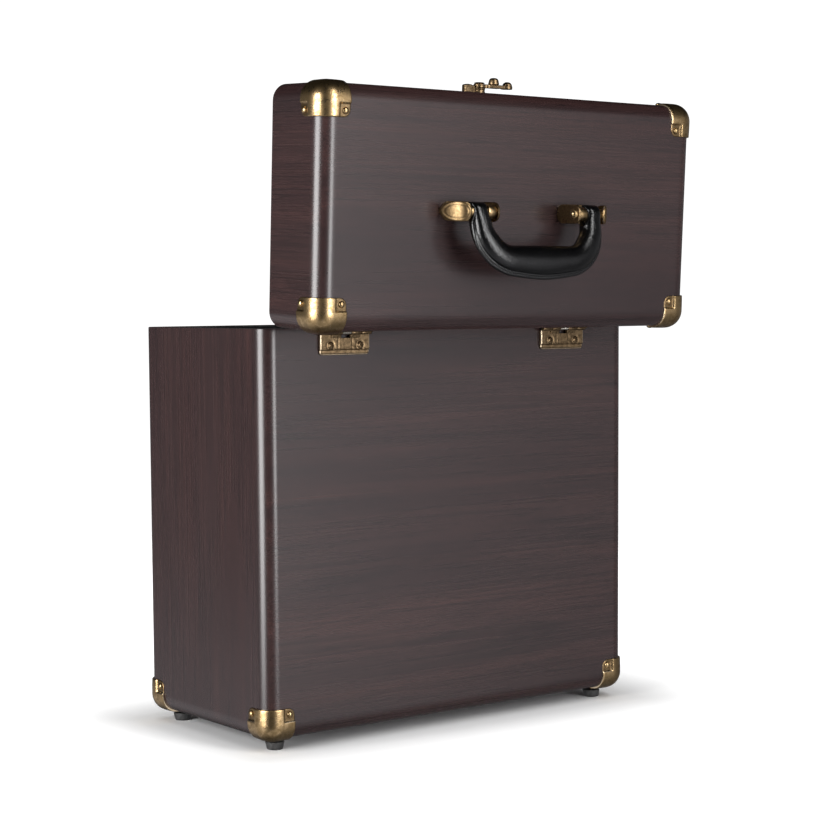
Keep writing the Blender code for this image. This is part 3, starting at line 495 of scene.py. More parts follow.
def screw(radius, rise, shank=0.004, recess=0.0007):
    """A domed screw head on Z = 0 with a cross recess and a short shank under it."""
    steps = 48
    rings = 11
    bm = bmesh.new()
    centre = bm.verts.new((0, 0, rise - recess))
    last = [centre]
    for ring in range(1, rings + 1):
        r = radius * ring / rings
        row = []
        for k in range(steps):
            t = 2 * math.pi * k / steps
            x = r * math.cos(t)
            y = r * math.sin(t)
            high = rise * math.sqrt(max(0.0, 1.0 - (r / radius) ** 2.6))
            slot_width = radius * (0.17 - 0.10 * r / radius)
            across = min(abs(x), abs(y))
            reach = 1.0 - smooth(r, radius * 0.46, radius * 0.60)
            high -= recess * (1.0 - smooth(across, slot_width * 0.6, slot_width * 1.4)) * reach
            row.append(bm.verts.new((x, y, high)))
        band(bm, last, row)
        last = row
    bmesh.ops.recalc_face_normals(bm, faces=bm.faces)
    body = turned([(radius, 0.0), (radius * 0.94, -0.0003), (0.0013, -0.0003), (0.0013, -shank),
                   (0.0, -shank - 0.001)], 24)
    return join(bm, body)


# ---------------------------------------------------------------- wooden halves
def ring_points(half_x, half_y, radius, z):
    """One level of a rounded box, with points close beside each rounded corner."""
    steps = 10
    points = []
    for cx, cy, start in ((1, 1, 0), (-1, 1, 90), (-1, -1, 180), (1, -1, 270)):
        mid = Vector((cx * (half_x - radius), cy * (half_y - radius), z))
        for k in range(steps + 1):
            t = math.radians(start + 90 * k / steps)
            points.append(mid + Vector((math.cos(t), math.sin(t), 0)) * radius)
    return points


def box_skin(profile, least, shut, up):
    """A rounded box's skin from (inset, height) pairs; its corners stay at least that round."""
    levels = []
    for inset, high in profile:
        radius = max(EDGE_RADIUS - inset, least)
        levels.append(ring_points(WIDTH / 2 - inset, DEPTH / 2 - inset, radius, shut + up * high))
    return loft(levels)


def wooden_half(name, shut, rim, body, at, nodes):
    """One half of the case: rounded outside, square rim and hollow inside."""
    up = 1 if rim > shut else -1
    tall = abs(rim - shut)
    ease = 0.0006
    profile = [(EDGE_RADIUS + 0.002, 0.0)]
    turns = 10
    for k in range(turns + 1):
        t = math.pi / 2 * k / turns
        profile.append((EDGE_RADIUS * (1 - math.sin(t)), EDGE_RADIUS * (1 - math.cos(t))))
    profile += [(0.0, EDGE_RADIUS + 0.001), (0.0, tall - 0.003), (0.0, tall - ease)]
    profile += [(ease * 0.3, tall - ease * 0.3), (ease, tall), (WALL - ease, tall)]
    profile += [(WALL - ease * 0.3, tall - ease * 0.3), (WALL, tall - ease), (WALL, WALL)]
    bm = box_skin(profile, 0.00015, shut, up)
    for face in bm.faces:
        x, y, z = map(abs, face.normal)
        face.material_index = 1 if x > max(y, z) else 0
    obj = piece(name, bm, (GRAIN_X, GRAIN_Z), body, nodes, at)
    even = obj.modifiers.new("even_normals", "WEIGHTED_NORMAL")
    even.keep_sharp = True
    even.weight = 60


def lining_half(name, shut, rim, body, at, node):
    """The flocked liner: a thin-walled tray with soft inside corners."""
    up = 1 if rim > shut else -1
    tall = abs(rim - shut) - 0.0006
    ease = 0.0003
    outer = WALL + GAP
    inner = outer + LINING
    profile = [(outer + 0.004, outer), (outer, outer), (outer, tall - ease), (outer + ease, tall),
               (inner - ease, tall), (inner, tall - ease), (inner, inner + 0.002),
               (inner + 0.0006, inner + 0.0006), (inner + 0.002, inner)]
    piece(name, box_skin(profile, 0.0016, shut, up), (FLOCK,), body, (node,), at)


CASE_PANELS = [f"case_{side}_panel" for side in ("front", "back", "left", "right", "bottom")]
LID_PANELS = [f"lid_{side}_panel" for side in ("front", "back", "left", "right", "top")]
wooden_half("case_woodwork", 0.0, CASE_HEIGHT, "case", STILL, CASE_PANELS)
wooden_half("lid_woodwork", LID_TOP, CASE_HEIGHT + GAP, "lid", OPEN, LID_PANELS)
lining_half("case_flocked_liner", 0.0, CASE_HEIGHT, "case", STILL, "case_lining")
lining_half("lid_flocked_liner", LID_TOP, CASE_HEIGHT + GAP, "lid", OPEN, "lid_lining")


# ---------------------------------------------------------------- corner caps
CAP_LINES = (0.0, 0.002, 0.004, 0.0065, 0.009, 0.0115, 0.0130, 0.0137, 0.0142, 0.0147, 0.0152,
             0.0158, 0.0170, 0.0185, 0.0200, 0.0215, 0.0228, 0.0235, 0.0238, 0.0240)


def cap_lift(u, v):
    """The sheet's outer face above the board: domed at the corner, flat on the nail pads."""
    edge = 1.0 - max(u, v) / CAP_REACH
    swell = math.sin(min(1.0, edge / 0.35) * math.pi / 2)
    dome = CAP_DOME + CAP_SWELL * swell
    step = (CAP_PAD - 0.0006, CAP_PAD + 0.0003)
    pad = smooth(u, *step) * smooth(v, *step)
    rim = max(0.0, 1.0 - (CAP_REACH - max(u, v)) / 0.0005)
    return dome + (-CAP_SINK - dome) * pad + CAP_SHEET - 0.0004 * rim * rim


def cap_point(face, u, v, lift):
    """A point over the rounded corner at the origin, whose sides run towards +X, +Y and +Z."""
    free = CAP_REACH - CAP_CORNER
    du = max(u - free, 0.0)
    dv = max(v - free, 0.0)
    if du > 0.0 and dv > 0.0:
        shrink = max(du, dv) / math.hypot(du, dv)
        u = free + du * shrink
        v = free + dv * shrink
    flat = [u, v]
    flat.insert(face, 0.0)
    point = Vector(flat)
    core = Vector([max(c, EDGE_RADIUS) for c in point])
    out = (point - core).normalized()
    return core + out * (EDGE_RADIUS + lift)


def cap_foot(co):
    """The nearest point on the board under a point of the cap."""
    core = Vector([max(c, EDGE_RADIUS) for c in co])
    out = (co - core).normalized()
    return core + out * (EDGE_RADIUS + 0.00005)


def nail_head():
    """A domed nail head on Z = 0."""
    profile = [(0.0, 0.0003 + NAIL_RISE)]
    for k in range(1, 8):
        t = math.pi / 2 * k / 7
        profile.append((NAIL_RADIUS * math.sin(t), 0.0003 + NAIL_RISE * math.cos(t)))
    profile += [(NAIL_RADIUS * 0.97, -0.0004), (0.0, -0.0004)]
    return turned(profile, 28)


def corner_cap(name, sx, sy, sz, z_face, body, at, node, wings=(0, 1, 2)):
    """One stamped corner cap with its nails."""
    sheet = bmesh.new()
    for face in range(3):
        grid = {}
        for i, u in enumerate(CAP_LINES):
            for j, v in enumerate(CAP_LINES):
                grid[i, j] = sheet.verts.new(cap_point(face, u, v, cap_lift(u, v)))
        for i, j, made in grid_skin(sheet, grid):
            u, v = CAP_LINES[i], CAP_LINES[j]
            # The sunken nail pads take the darker brass: patina in the hollow, and painted shade from the
            # step round it.
            if min(u, v) > CAP_PAD - 0.0001:
                made.material_index = 2
            # The pad's lower step wall takes the brighter brass: a painted highlight.
            elif u > CAP_PAD and v > CAP_PAD - 0.0010 and face < 2:
                made.material_index = 1
    bmesh.ops.remove_doubles(sheet, verts=sheet.verts, dist=1e-6)
    # The cap's rim takes the brighter brass: wear and a painted highlight.
    skirt(sheet, cap_foot, 1)
    parts = [sheet]
    for face in wings:
        axis = Vector((0, 0, 0))
        axis[face] = -1.0
        place = [CAP_NAIL, CAP_NAIL]
        place.insert(face, CAP_SINK - CAP_SHEET)
        turn = Vector((0, 0, 1)).rotation_difference(axis).to_matrix().to_4x4()
        parts.append((placed(nail_head(), Matrix.Translation(place) @ turn), 3))
    bm = join(*parts)
    mirror = Matrix.Diagonal((-sx, -sy, -sz, 1.0))
    placed(bm, Matrix.Translation((sx * WIDTH / 2, sy * DEPTH / 2, z_face)) @ mirror)
    piece(name, bm, (BRASS, BRASS_WEAR_AND_HIGHLIGHT, DARK_BRASS, BRASS), body, (node,), at, 50.0)


for corner, sx, sy in CORNERS:
    corner_cap("case_cap_" + corner, sx, sy, -1, 0.0, "case", STILL, "case_corner_cap_" + corner, (0, 1))
    corner_cap("lid_cap_" + corner, sx, sy, 1, LID_TOP, "lid", OPEN, "lid_corner_cap_" + corner)


# ---------------------------------------------------------------- feet
def foot(corner, sx, sy):
    """A tapered rubber foot with a screw sunk in its middle."""
    top = -2 * GAP - 0.0018 - CAP_SHEET
    low = -FOOT_HEIGHT
    seat = low + 0.0042
    profile = [(0.0019, seat), (0.0033, seat), (0.0036, seat - 0.0003), (0.0036, low + 0.0004),
               (0.0039, low), (0.0053, low), (0.0058, low + 0.0003), (0.0061, low + 0.0009),
               (0.0064, low + 0.0025), (0.0070, top - 0.0008), (0.0068, top - 0.0002),
               (0.0064, top), (0.0019, top), (0.0019, seat)]
    place = shift(sx * (WIDTH / 2 - FOOT_INSET), sy * (DEPTH / 2 - FOOT_INSET), 0)
    piece("rubber_foot_" + corner, turned(profile, 48), (RUBBER,), "case",
          ("foot_" + corner,), place)
    head = placed(screw(0.0030, 0.0013), shift(0, 0, seat - GAP) @ spin(180, "X"))
    piece("foot_fixing_" + corner, head, (BRONZE,), "case", ("foot_screw_" + corner,), place)


for corner, sx, sy in CORNERS:
    foot(corner, sx, sy)


# ---------------------------------------------------------------- hinges
FACING_DOWN = Matrix(((1, 0, 0, 0), (0, 0, 1, 0), (0, -1, 0, 0), (0, 0, 0, 1)))
FACING_UP = Matrix(((-1, 0, 0, 0), (0, 0, 1, 0), (0, 1, 0, 0), (0, 0, 0, 1)))


def leaf_height(u, v):
    """The stamped leaf over its board: a raised pad, a folded ledge and pressed outlines."""
    far = v + LEAF_HEIGHT / 2
    step = smooth(far, LEAF_HEIGHT - LEDGE_HEIGHT - 0.0004, LEAF_HEIGHT - LEDGE_HEIGHT + 0.0003)
    high = LEAF_THICK + (LEDGE_THICK - LEAF_THICK) * step
    lip = smooth(far, LEAF_HEIGHT - 0.0011, LEAF_HEIGHT - 0.0006)
    high += 0.00035 * lip
    crease = math.exp(-((far - (LEAF_HEIGHT - LEDGE_HEIGHT - 0.0008)) / 0.00035) ** 2)
    high += 0.00018 * crease
    for centre in (-HINGE_SCREW_X, HINGE_SCREW_X):
        away = math.hypot(u - centre, far - HINGE_SCREW_Z)
        high -= 0.00030 * math.exp(-((away - 0.0033) / 0.0005) ** 2)
    for line in (-0.0062, 0.0062):
        high -= 0.00022 * math.exp(-((u - line) / 0.0004) ** 2) * (1 - step)
    return high


def hinge_leaf(name, body, at, node, knuckles, slots, blank):
    """One leaf: plate, knuckles on the pin's axis and the web that joins them."""
    plate = relief(HINGE_WIDTH / 2, LEAF_HEIGHT / 2, 0.0024, leaf_height, 0.00002, (72, 44), 0.0004)
    gone = []
    for face in plate.faces:
        centre = face.calc_center_median()
        far = centre.y + LEAF_HEIGHT / 2
        # The side edges and the ledge's lip take the brighter bronze: wear and a painted highlight along
        # the edges.
        wear_and_highlight = abs(centre.x) > HINGE_WIDTH / 2 - 0.0006 or far > LEAF_HEIGHT - 0.0007
        face.material_index = 1 if wear_and_highlight else 0
        if far < blank or (far < SLOT_DEPTH and any(a < centre.x < b for a, b in slots)):
            gone.append(face)
    bmesh.ops.delete(plate, geom=gone, context="FACES")
    placed(plate, shift(0, LEAF_HEIGHT / 2, -HINGE_OUT + GAP))
    parts = [plate]
    for a, b in knuckles:
        parts.append((cylinder(KNUCKLE_RADIUS, a, b, 0.0002, 32, "X"), 0))
        web = relief((b - a) / 2, 0.0021, 0.0002, lambda u, v: 0.0, -0.0024, (6, 6), 0.0002)
        tilt = shift((a + b) / 2, 0.0021, -0.0002) @ spin(-20, "X")
        parts.append((placed(web, tilt), 0))
    piece(name, join(*parts), (BRONZE, BRONZE_WEAR_AND_HIGHLIGHT), body, (node,), at, 40.0)


def coil(radius, wire, half, turns):
    """A helical spring along X."""
    steps = turns * 20
    points = []
    frames = []
    for k in range(steps + 1):
        t = 2 * math.pi * turns * k / steps
        x = -half + 2 * half * k / steps
        out = Vector((0, math.cos(t), math.sin(t)))
        points.append(Vector((x, 0, 0)) + out * radius)
        frames.append((out, Vector((1, 0, 0))))
    outline = [(wire * math.cos(a * math.pi / 4), wire * math.sin(a * math.pi / 4)) for a in range(8)]
    return sweep(points, frames, lambda k: outline)


def hinge(label, sx):
    """One stop hinge with its pin, spring and screws."""
    axis = shift(sx * HINGE_X, HINGE.y, HINGE.z)
    down = axis @ FACING_DOWN
    up = OPEN @ axis @ FACING_UP
    half = HINGE_WIDTH / 2
    split = CASE_KNUCKLE_END
    case_knuckles = [(-split, -SPRING_HALF), (SPRING_HALF, split)]
    lid_knuckles = [(-half, -split - GAP), (split + GAP, half)]
    middle = [(-SPRING_HALF, SPRING_HALF)]
    hinge_leaf(f"hinge_leaf_case_{label}", "case", down, f"hinge_case_leaf_{label}", case_knuckles,
               middle, 0.0012)
    hinge_leaf(f"hinge_leaf_lid_{label}", "lid", up, f"hinge_lid_leaf_{label}", lid_knuckles, (),
               SLOT_DEPTH)
    pin = cylinder(0.0008, GAP - half, half - GAP, 0.0003, 20, "X")
    piece(f"hinge_rod_{label}", pin, (BRONZE,), "case", (f"hinge_pin_{label}",), axis)
    piece(f"hinge_coil_{label}", coil(0.00125, 0.00024, SPRING_HALF - 0.0005, 13), (WIRE,), "case",
          (f"hinge_spring_{label}",), axis)
    seat = -HINGE_OUT + GAP + LEAF_THICK
    for side, dx in (("a", HINGE_SCREW_X), ("b", -HINGE_SCREW_X)):
        for half_name, body, at, sign in (("case", "case", down, 1), ("lid", "lid", up, -1)):
            place = at @ shift(sign * dx, HINGE_SCREW_Z, seat) @ spin(20 * sign + 15, "Z")
            piece(f"hinge_fixing_{half_name}_{label}_{side}", screw(0.0027, 0.0011), (BRONZE,), body,
                  (f"hinge_{half_name}_screw_{label}_{side}",), place)


for label, sx in SIDES:
    hinge(label, sx)


# ---------------------------------------------------------------- handle
TOP = OPEN @ shift(0, 0, LID_TOP)
SWING = TOP @ shift(0, 0, PIVOT_RISE) @ spin(-255, "X")


def flanged_half(half):
    """Half of the grip's section from its outer edge to its inner side: flat flange, then body."""
    edge = half
    crease = half - FLANGE
    points = [(edge, 0.0), (edge - 0.0002, 0.0007), (edge - 0.0006, 0.0012), (edge - 0.0012, FLANGE_HALF),
              (edge - 0.0022, FLANGE_HALF), (crease + 0.0003, FLANGE_HALF), (crease, FLANGE_HALF + 0.0001)]
    first = math.asin((FLANGE_HALF + 0.0004) / GRIP_ROUND) * 1.15
    long = (crease + half) / (1.0 + math.cos(first))
    centre = long - half
    for k in range(18):
        t = first + (math.pi - first) * k / 17
        points.append((centre + long * math.cos(t), GRIP_ROUND * math.sin(t) ** 0.86))
    return points


def loop_half(count, thick):
    """The same number of points round half of a squared loop section."""
    points = []
    for k in range(count):
        t = math.pi * k / (count - 1)
        c = math.cos(t)
        points.append((LOOP_OUT + LOOP_HALF * math.copysign(abs(c) ** 0.62, c),
                       thick * math.sin(t) ** 0.72))
    return points


def grip_outline(blend, thick, half):
    """One section of the handle: 0 is an end loop, 1 is the padded grip with its sewn flange."""
    flanged = flanged_half(half)
    plain = loop_half(len(flanged), thick)
    points = []
    for (n, b), (loop_n, loop_b) in zip(flanged, plain):
        points.append((loop_n + (n - loop_n) * blend, loop_b + (b - loop_b) * blend))
    return points + [(n, -b) for n, b in points[-2:0:-1]]


def handle_stations():
    """Place, turn, blend, thickness and half depth along the handle, from its loop to its middle."""
    rows = []
    for k in range(9):
        t = math.pi / 2 * k / 8
        drop = -LOOP_RADIUS * math.cos(t)
        thick = max(LOOP_RADIUS * math.sin(t), 0.0004)
        rows.append((ARM_X, drop * 0.99, 0.0, 0.0, thick, GRIP_HALF))
    straight = GRIP_DROP - GRIP_BEND
    for k in range(1, 6):
        share = k / 5
        rows.append((ARM_X, straight * share, 0.0, 0.55 * smooth(share, 0, 1), LOOP_RADIUS, GRIP_HALF))
    bends = 20
    for k in range(1, bends + 1):
        turn = math.pi / 2 * k / bends
        x = ARM_X - GRIP_BEND + GRIP_BEND * math.cos(turn)
        drop = straight + GRIP_BEND * math.sin(turn)
        blend = 0.55 + 0.45 * smooth(k / bends, 0, 0.4)
        rows.append((x, drop, turn, blend, LOOP_RADIUS, GRIP_HALF))
    for x in (0.0240, 0.0210, 0.0180, 0.0150, 0.0120, 0.0090, 0.0060, 0.0030, 0.0010):
        rows.append((x, GRIP_DROP, math.pi / 2, 1.0, LOOP_RADIUS, GRIP_HALF))
    for k, (x, drop, turn, blend, thick, half) in enumerate(rows):
        bow = 0.5 + 0.5 * math.cos(math.pi * min(1.0, x / 0.046))
        rows[k] = (x, drop + GRIP_BOW * bow, turn, blend, thick, half + GRIP_SWELL * bow)
    return rows


def handle():
    """The padded handle: leatherette sewn round a core, with its stitches."""
    rows = handle_stations()
    rows += [(-x, drop, math.pi - turn, *rest) for x, drop, turn, *rest in rows[::-1]]
    points = []
    frames = []
    for x, drop, turn, *rest in rows:
        points.append(Vector((x, 0, -drop)))
        frames.append((Vector((math.cos(turn), 0, -math.sin(turn))), Vector((0, 1, 0))))
    skin = sweep(points, frames, lambda k: grip_outline(*rows[k][3:]))
    grip = piece("handle_cover", skin, (LEATHER,), "handle", ("handle_grip",), SWING, 40.0)
    seam = []
    for (x, drop, turn, blend, thick, half), point, (out, side) in zip(rows, points, frames):
        if blend > 0.90:
            seam.append((point + out * (half - FLANGE * 0.45), out))
    stitches = []
    for first, second in zip(seam, seam[1:]):
        run = second[0] - first[0]
        along = run.normalized()
        count = max(1, round(run.length / 0.0030))
        for k in range(count):
            middle = first[0] + run * ((k + 0.5) / count)
            for side in (-1, 1):
                stitch = cylinder(0.00026, -0.0010, 0.0010, 0.00022, 8)
                turn = Vector((0, 0, 1)).rotation_difference(along).to_matrix().to_4x4()
                at = middle + Vector((0, side * FLANGE_HALF, 0))
                stitches.append(placed(stitch, Matrix.Translation(at) @ turn))
    piece("handle_stitching", join(*stitches), (THREAD,), "handle", (), SWING)


def strap_point(share):
    """The outer strap's curve: X outwards and height above the lid's top face."""
    t = math.pi / 2 * share
    top = PIVOT_RISE + PIN_RADIUS + 0.0010
    x = BRACKET_TOP_OUT + (BRACKET_OUT - BRACKET_TOP_OUT) * math.cos(t)
    return Vector((x, 0, GAP + (top - GAP) * math.sin(t) ** 0.9))


def strap(sx):
    """The domed oval strap at the handle's outer end, with its pressed oval line."""
    rows = 36
    cols = 24
    bm = bmesh.new()
    grid = {}
    for i in range(rows + 1):
        share = i / rows
        here = strap_point(share)
        ahead = strap_point(min(1.0, share + 0.01)) - strap_point(max(0.0, share - 0.01))
        out = Vector((ahead.z, 0, -ahead.x)).normalized()
        s = 2 * share - 1
        wide = BRACKET_HALF * max(0.05, (1 - abs(s) ** 2.6)) ** (1 / 2.2)
        for j in range(cols + 1):
            w = 2 * j / cols - 1
            y = w * wide
            oval = math.hypot(s / 0.98, y / BRACKET_HALF)
            ring = math.exp(-((oval - 0.74) / 0.05) ** 2)
            rise = 0.0005 * (1 - w * w) - 0.00028 * ring
            fall = 0.0005 * smooth(oval, 0.90, 1.02)
            co = here + out * (rise - fall)
            grid[i, j] = bm.verts.new((sx * co.x, y, co.z))
    grid_skin(bm, grid)
    centre = Vector((sx * BRACKET_TOP_OUT, 0, GAP))

    def inside(co):
        inward = Vector((centre.x - co.x, 0, centre.z - co.z)).normalized()
        moved = co + inward * 0.0013
        return Vector((moved.x, co.y, max(moved.z, GAP)))

    skirt(bm, inside, 1)
    return bm


def bracket(label, sx):
    """A handle bracket: base strip, inner ear with its rivet, outer strap, pin and screws."""
    middle = (BRACKET_IN + BRACKET_OUT) / 2
    base = relief((BRACKET_OUT - BRACKET_IN) / 2 - 0.001, BRACKET_HALF, 0.0060,
                  lambda u, v: GAP + BRACKET_SHEET, GAP, (14, 8), 0.0005)
    placed(base, shift(sx * (middle - 0.001), 0, 0))
    ear_high = 0.0250
    ear = relief(BRACKET_HALF, ear_high / 2, 0.0060, lambda u, v: BRACKET_SHEET, 0.0, (24, 30), 0.0005)
    stand = Matrix(((0, 0, -1, 0), (1, 0, 0, 0), (0, 1, 0, 0), (0, 0, 0, 1)))
    if sx < 0:
        stand = Matrix.Diagonal((-1, 1, 1, 1)) @ stand
    placed(ear, shift(sx * (BRACKET_IN + BRACKET_SHEET), 0, ear_high / 2 + GAP) @ stand)
    parts = [(base, 2), (ear, 2), strap(sx)]
    piece(f"handle_mount_{label}", join(*parts), (STRAP_BRASS, BRASS_WEAR_AND_HIGHLIGHT, DARK_BRASS), "lid",
          (f"handle_bracket_{label}",), TOP, 45.0)
    axle = cylinder(PIN_RADIUS, BRACKET_IN - 0.0012, BRACKET_TOP_OUT + 0.0022, 0.0007, 40, "X")
    collar = cylinder(PIN_RADIUS + 0.0011, BRACKET_IN + BRACKET_SHEET + 0.0001,
                      ARM_X + LOOP_OUT - LOOP_HALF - 0.0003, 0.0006, 40, "X")
    rivet = turned([(0.0, 0.0016), (0.0012, 0.0014), (0.0021, 0.0009), (0.0026, 0.0), (0.0, 0.0)], 28)
    placed(rivet, shift(BRACKET_IN - 0.0010, 0, 0) @ spin(-90, "Y"))
    pin = join(axle, collar, rivet)
    place = TOP @ shift(0, 0, PIVOT_RISE)
    if sx < 0:
        placed(pin, Matrix.Diagonal((-1, 1, 1, 1)))
    piece(f"handle_axle_{label}", pin, (BRASS,), "lid", (f"handle_pin_{label}",), place, 45.0)
    for side, along in (("a", 0.0075), ("b", 0.0205)):
        at = TOP @ shift(sx * (BRACKET_IN + along), 0, GAP + BRACKET_SHEET + 0.00005)
        piece(f"handle_fixing_{label}_{side}", screw(0.0026, 0.0010), (BRASS,), "lid",
              (f"handle_screw_{label}_{side}",), at)


handle()
for label, sx in SIDES:
    bracket(label, sx)


# ---------------------------------------------------------------- latch
LATCH = OPEN @ shift(0, -DEPTH / 2, CASE_HEIGHT + LATCH_UP) @ spin(90, "X")
KEEPER = shift(0, -DEPTH / 2, CASE_HEIGHT + LATCH_UP - HOOK_REACH) @ spin(90, "X")


def arm_half_width(along):
    """Half the arm's width at a distance from its pivot: neck, shank and bulb."""
    neck = ARM_NECK + 0.0012 * smooth(along, 0.0050, 0.0078)
    reach = (along - SWELL_ALONG + 0.0006) / 0.0045
    bulb = 0.0043 * math.sqrt(max(0.0, 1.0 - reach * reach))
    return max(neck if along < SWELL_ALONG else 0.0, bulb)


def arm_outline(inset):
    """The arm from the front, pointing along -X, with its hook notch open towards -Y."""
    notch = STUD_RADIUS + 0.0004
    tip = SWELL_ALONG + 0.00385
    upper = [0.0044 + (tip - 0.0044) * (k / 39) ** 0.9 for k in range(40)]
    edge = [(-along, arm_half_width(along)) for along in upper]
    beyond = [(x, -wide) for x, wide in edge[-2::-1] if x < -HOOK_REACH - notch]
    before = [(x, -wide) for x, wide in edge[::-1] if x > -HOOK_REACH + notch]
    mouth = []
    for k in range(13):
        t = math.pi - math.pi * k / 12
        mouth.append((-HOOK_REACH + notch * math.cos(t), notch * math.sin(t)))
    first = math.asin(ARM_NECK / ARM_EYE)
    head = []
    for k in range(1, 28):
        t = math.pi + first + (2 * math.pi - 2 * first) * k / 28
        head.append((ARM_EYE * math.cos(t), ARM_EYE * math.sin(t)))
    outline = edge + beyond + mouth + before + head
    shrunk = []
    for k, (x, y) in enumerate(outline):
        ahead = outline[(k + 1) % len(outline)]
        run = Vector((ahead[0] - outline[k - 1][0], ahead[1] - outline[k - 1][1]))
        inward = Vector((-run.y, run.x)).normalized() * inset
        shrunk.append((x + inward.x, y + inward.y))
    return shrunk


def latch_arm():
    """The cast swing arm with softened edges, a thumb knob and a swollen end."""
    high = ARM_LIFT + ARM_THICK
    ease = 0.0004
    levels = []
    for inset, z in ((ease, ARM_LIFT), (0.0, ARM_LIFT + ease), (0.0, high - ease), (ease, high)):
        levels.append([(x, y, z) for x, y in arm_outline(inset)])
    knob = turned([(0.0, -0.0006), (0.0023, -0.0006), (0.0036, -0.0001), (0.0041, 0.0004),
                   (0.0041, 0.0010), (0.0038, 0.0020), (0.0036, 0.0032), (0.0032, 0.0041),
                   (0.0024, 0.0048), (0.0012, 0.0051), (0.0, 0.0051)], 36)
    placed(knob, shift(-KNOB_ALONG, 0, high))
    swell = turned([(0.0, -0.0006), (0.0034, -0.0006), (0.0035, 0.0004), (0.0032, 0.0013),
                    (0.0025, 0.0021), (0.0014, 0.0027), (0.0, 0.0029)], 32)
    placed(swell, shift(-SWELL_ALONG, 0, high) @ Matrix.Diagonal((1.05, 1.0, 1.0, 1.0)))
    piece("latch_swing_arm", join(loft(levels), knob, swell), (BRONZE,), "latch_arm",
          ("latch_arm",), LATCH, 40.0)


def grooved_plate(half_u, half_v, corner, rise, groove, counts):
    """A small plate with a pressed line a little inside its rim: groove is its depth and place."""
    depth, away = groove

    def height(u, v):
        inside = min(half_u - abs(u), half_v - abs(v))
        return GAP + rise - depth * math.exp(-((inside - away) / 0.0003) ** 2)

    return relief(half_u, half_v, corner, height, GAP, counts, 0.0004)


def latch_mount():
    """The latch's base: plate, pivot post, and the stop block that is bridged to the post."""
    half_u, half_v, middle = LATCH_PLATE
    plate = grooved_plate(half_u, half_v, 0.0030, LATCH_RISE, (0.00035, 0.0012), (40, 24))
    placed(plate, shift(middle, 0, 0))
    over = ARM_LIFT + ARM_THICK + GAP
    post = turned([(0.0, GAP + 0.0010), (0.0047, GAP + 0.0010), (0.0046, GAP + 0.0022),
                   (0.0042, GAP + 0.0028), (0.0042, ARM_LIFT - 0.0014), (0.0045, ARM_LIFT - 0.0010),
                   (0.0045, ARM_LIFT - GAP), (0.0020, ARM_LIFT - GAP), (0.0020, over),
                   (0.0038, over), (0.0040, over + 0.0002), (0.0038, over + 0.0005),
                   (0.0026, over + 0.0009), (0.0012, over + 0.0010), (0.0, over + 0.0010)], 40)

    def block_height(u, v):
        hump = max(0.0, 1 - ((u + 0.0008) / 0.0056) ** 2)
        return 0.0068 + 0.0016 * math.sqrt(hump) - 0.0005 * (v / LATCH_BLOCK[1]) ** 2

    def bridge_height(u, v):
        return 0.0078 - 0.0004 * (v / LATCH_BRIDGE[1]) ** 2

    parts = [plate, post]
    for (half_u, half_v, middle), *shape in (
            (LATCH_BLOCK, 0.0007, block_height, GAP + 0.0008, (24, 16), 0.0005),
            (LATCH_BRIDGE, 0.0006, bridge_height, 0.0058, (14, 12), 0.0004),
            (LATCH_WEB, 0.0004, lambda u, v: 0.0060, GAP + 0.0008, (8, 8), 0.0002)):
        parts.append(placed(relief(half_u, half_v, *shape), shift(middle, 0, 0)))
    piece("latch_mount", join(*parts), (BRONZE,), "lid", ("latch_base",), LATCH, 40.0)
    for side, sign in (("a", 1), ("b", -1)):
        at = LATCH @ shift(LATCH_SCREW[0], sign * LATCH_SCREW[1], GAP + LATCH_RISE)
        piece(f"latch_fixing_{side}", screw(0.0020, 0.0008, 0.004, 0.0005), (BRONZE,), "lid",
              (f"latch_screw_{side}",), at)


def keeper():
    """The keeper on the case: plate, headed stud and screws."""
    plate = grooved_plate(*KEEPER_HALF, 0.0040, KEEPER_RISE, (0.0003, 0.0010), (24, 40))
    top = ARM_LIFT + ARM_THICK + 0.0016
    stud = turned([(0.0, GAP + 0.0008), (0.0024, GAP + 0.0008), (0.0022, GAP + 0.0016),
                   (STUD_RADIUS, GAP + 0.0024), (STUD_RADIUS, top), (0.0021, top),
                   (0.0023, top + 0.0003), (0.0021, top + 0.0008), (0.0013, top + 0.0013),
                   (0.0, top + 0.0015)], 36)
    piece("keeper_plate", join(plate, stud), (BRONZE,), "case", ("latch_keeper",), KEEPER, 40.0)
    for side, sign in (("upper", 1), ("lower", -1)):
        at = KEEPER @ shift(0, sign * KEEPER_SCREW, GAP + KEEPER_RISE)
        piece(f"keeper_fixing_{side}", screw(0.0022, 0.0009, 0.004, 0.0005), (BRONZE,), "case",
              (f"latch_keeper_screw_{side}",), at)


latch_arm()
latch_mount()
keeper()


# ---------------------------------------------------------------- stage, light and camera
AIM = Vector((0.0, 0.0, 0.2))
AZIMUTH = 142.892              # the camera's, which the lights and the surround follow


def outward(azimuth, elevation=0.0):
    """The direction from the object to a place round it; azimuth 0 is in front of it, at -Y."""
    a = math.radians(azimuth)
    e = math.radians(elevation)
    return Vector((math.sin(a) * math.cos(e), -math.cos(a) * math.cos(e), math.sin(e)))



def softbox(name, azimuth, elevation, distance, width, height, radiance, glossy=True):
    """A soft rectangular studio light that faces the object."""
    lamp = bpy.data.lights.new(name, "AREA")
    lamp.shape = "RECTANGLE"
    lamp.size = width
    lamp.size_y = height
    lamp.energy = radiance * math.pi * width * height
    obj = add_object(name, lamp)
    away = outward(azimuth, elevation) * distance
    turn = away.to_track_quat("Z", "Y").to_matrix().to_4x4()
    obj.matrix_world = Matrix.Translation(AIM + away) @ turn
    obj.visible_glossy = glossy
    obj.visible_camera = False


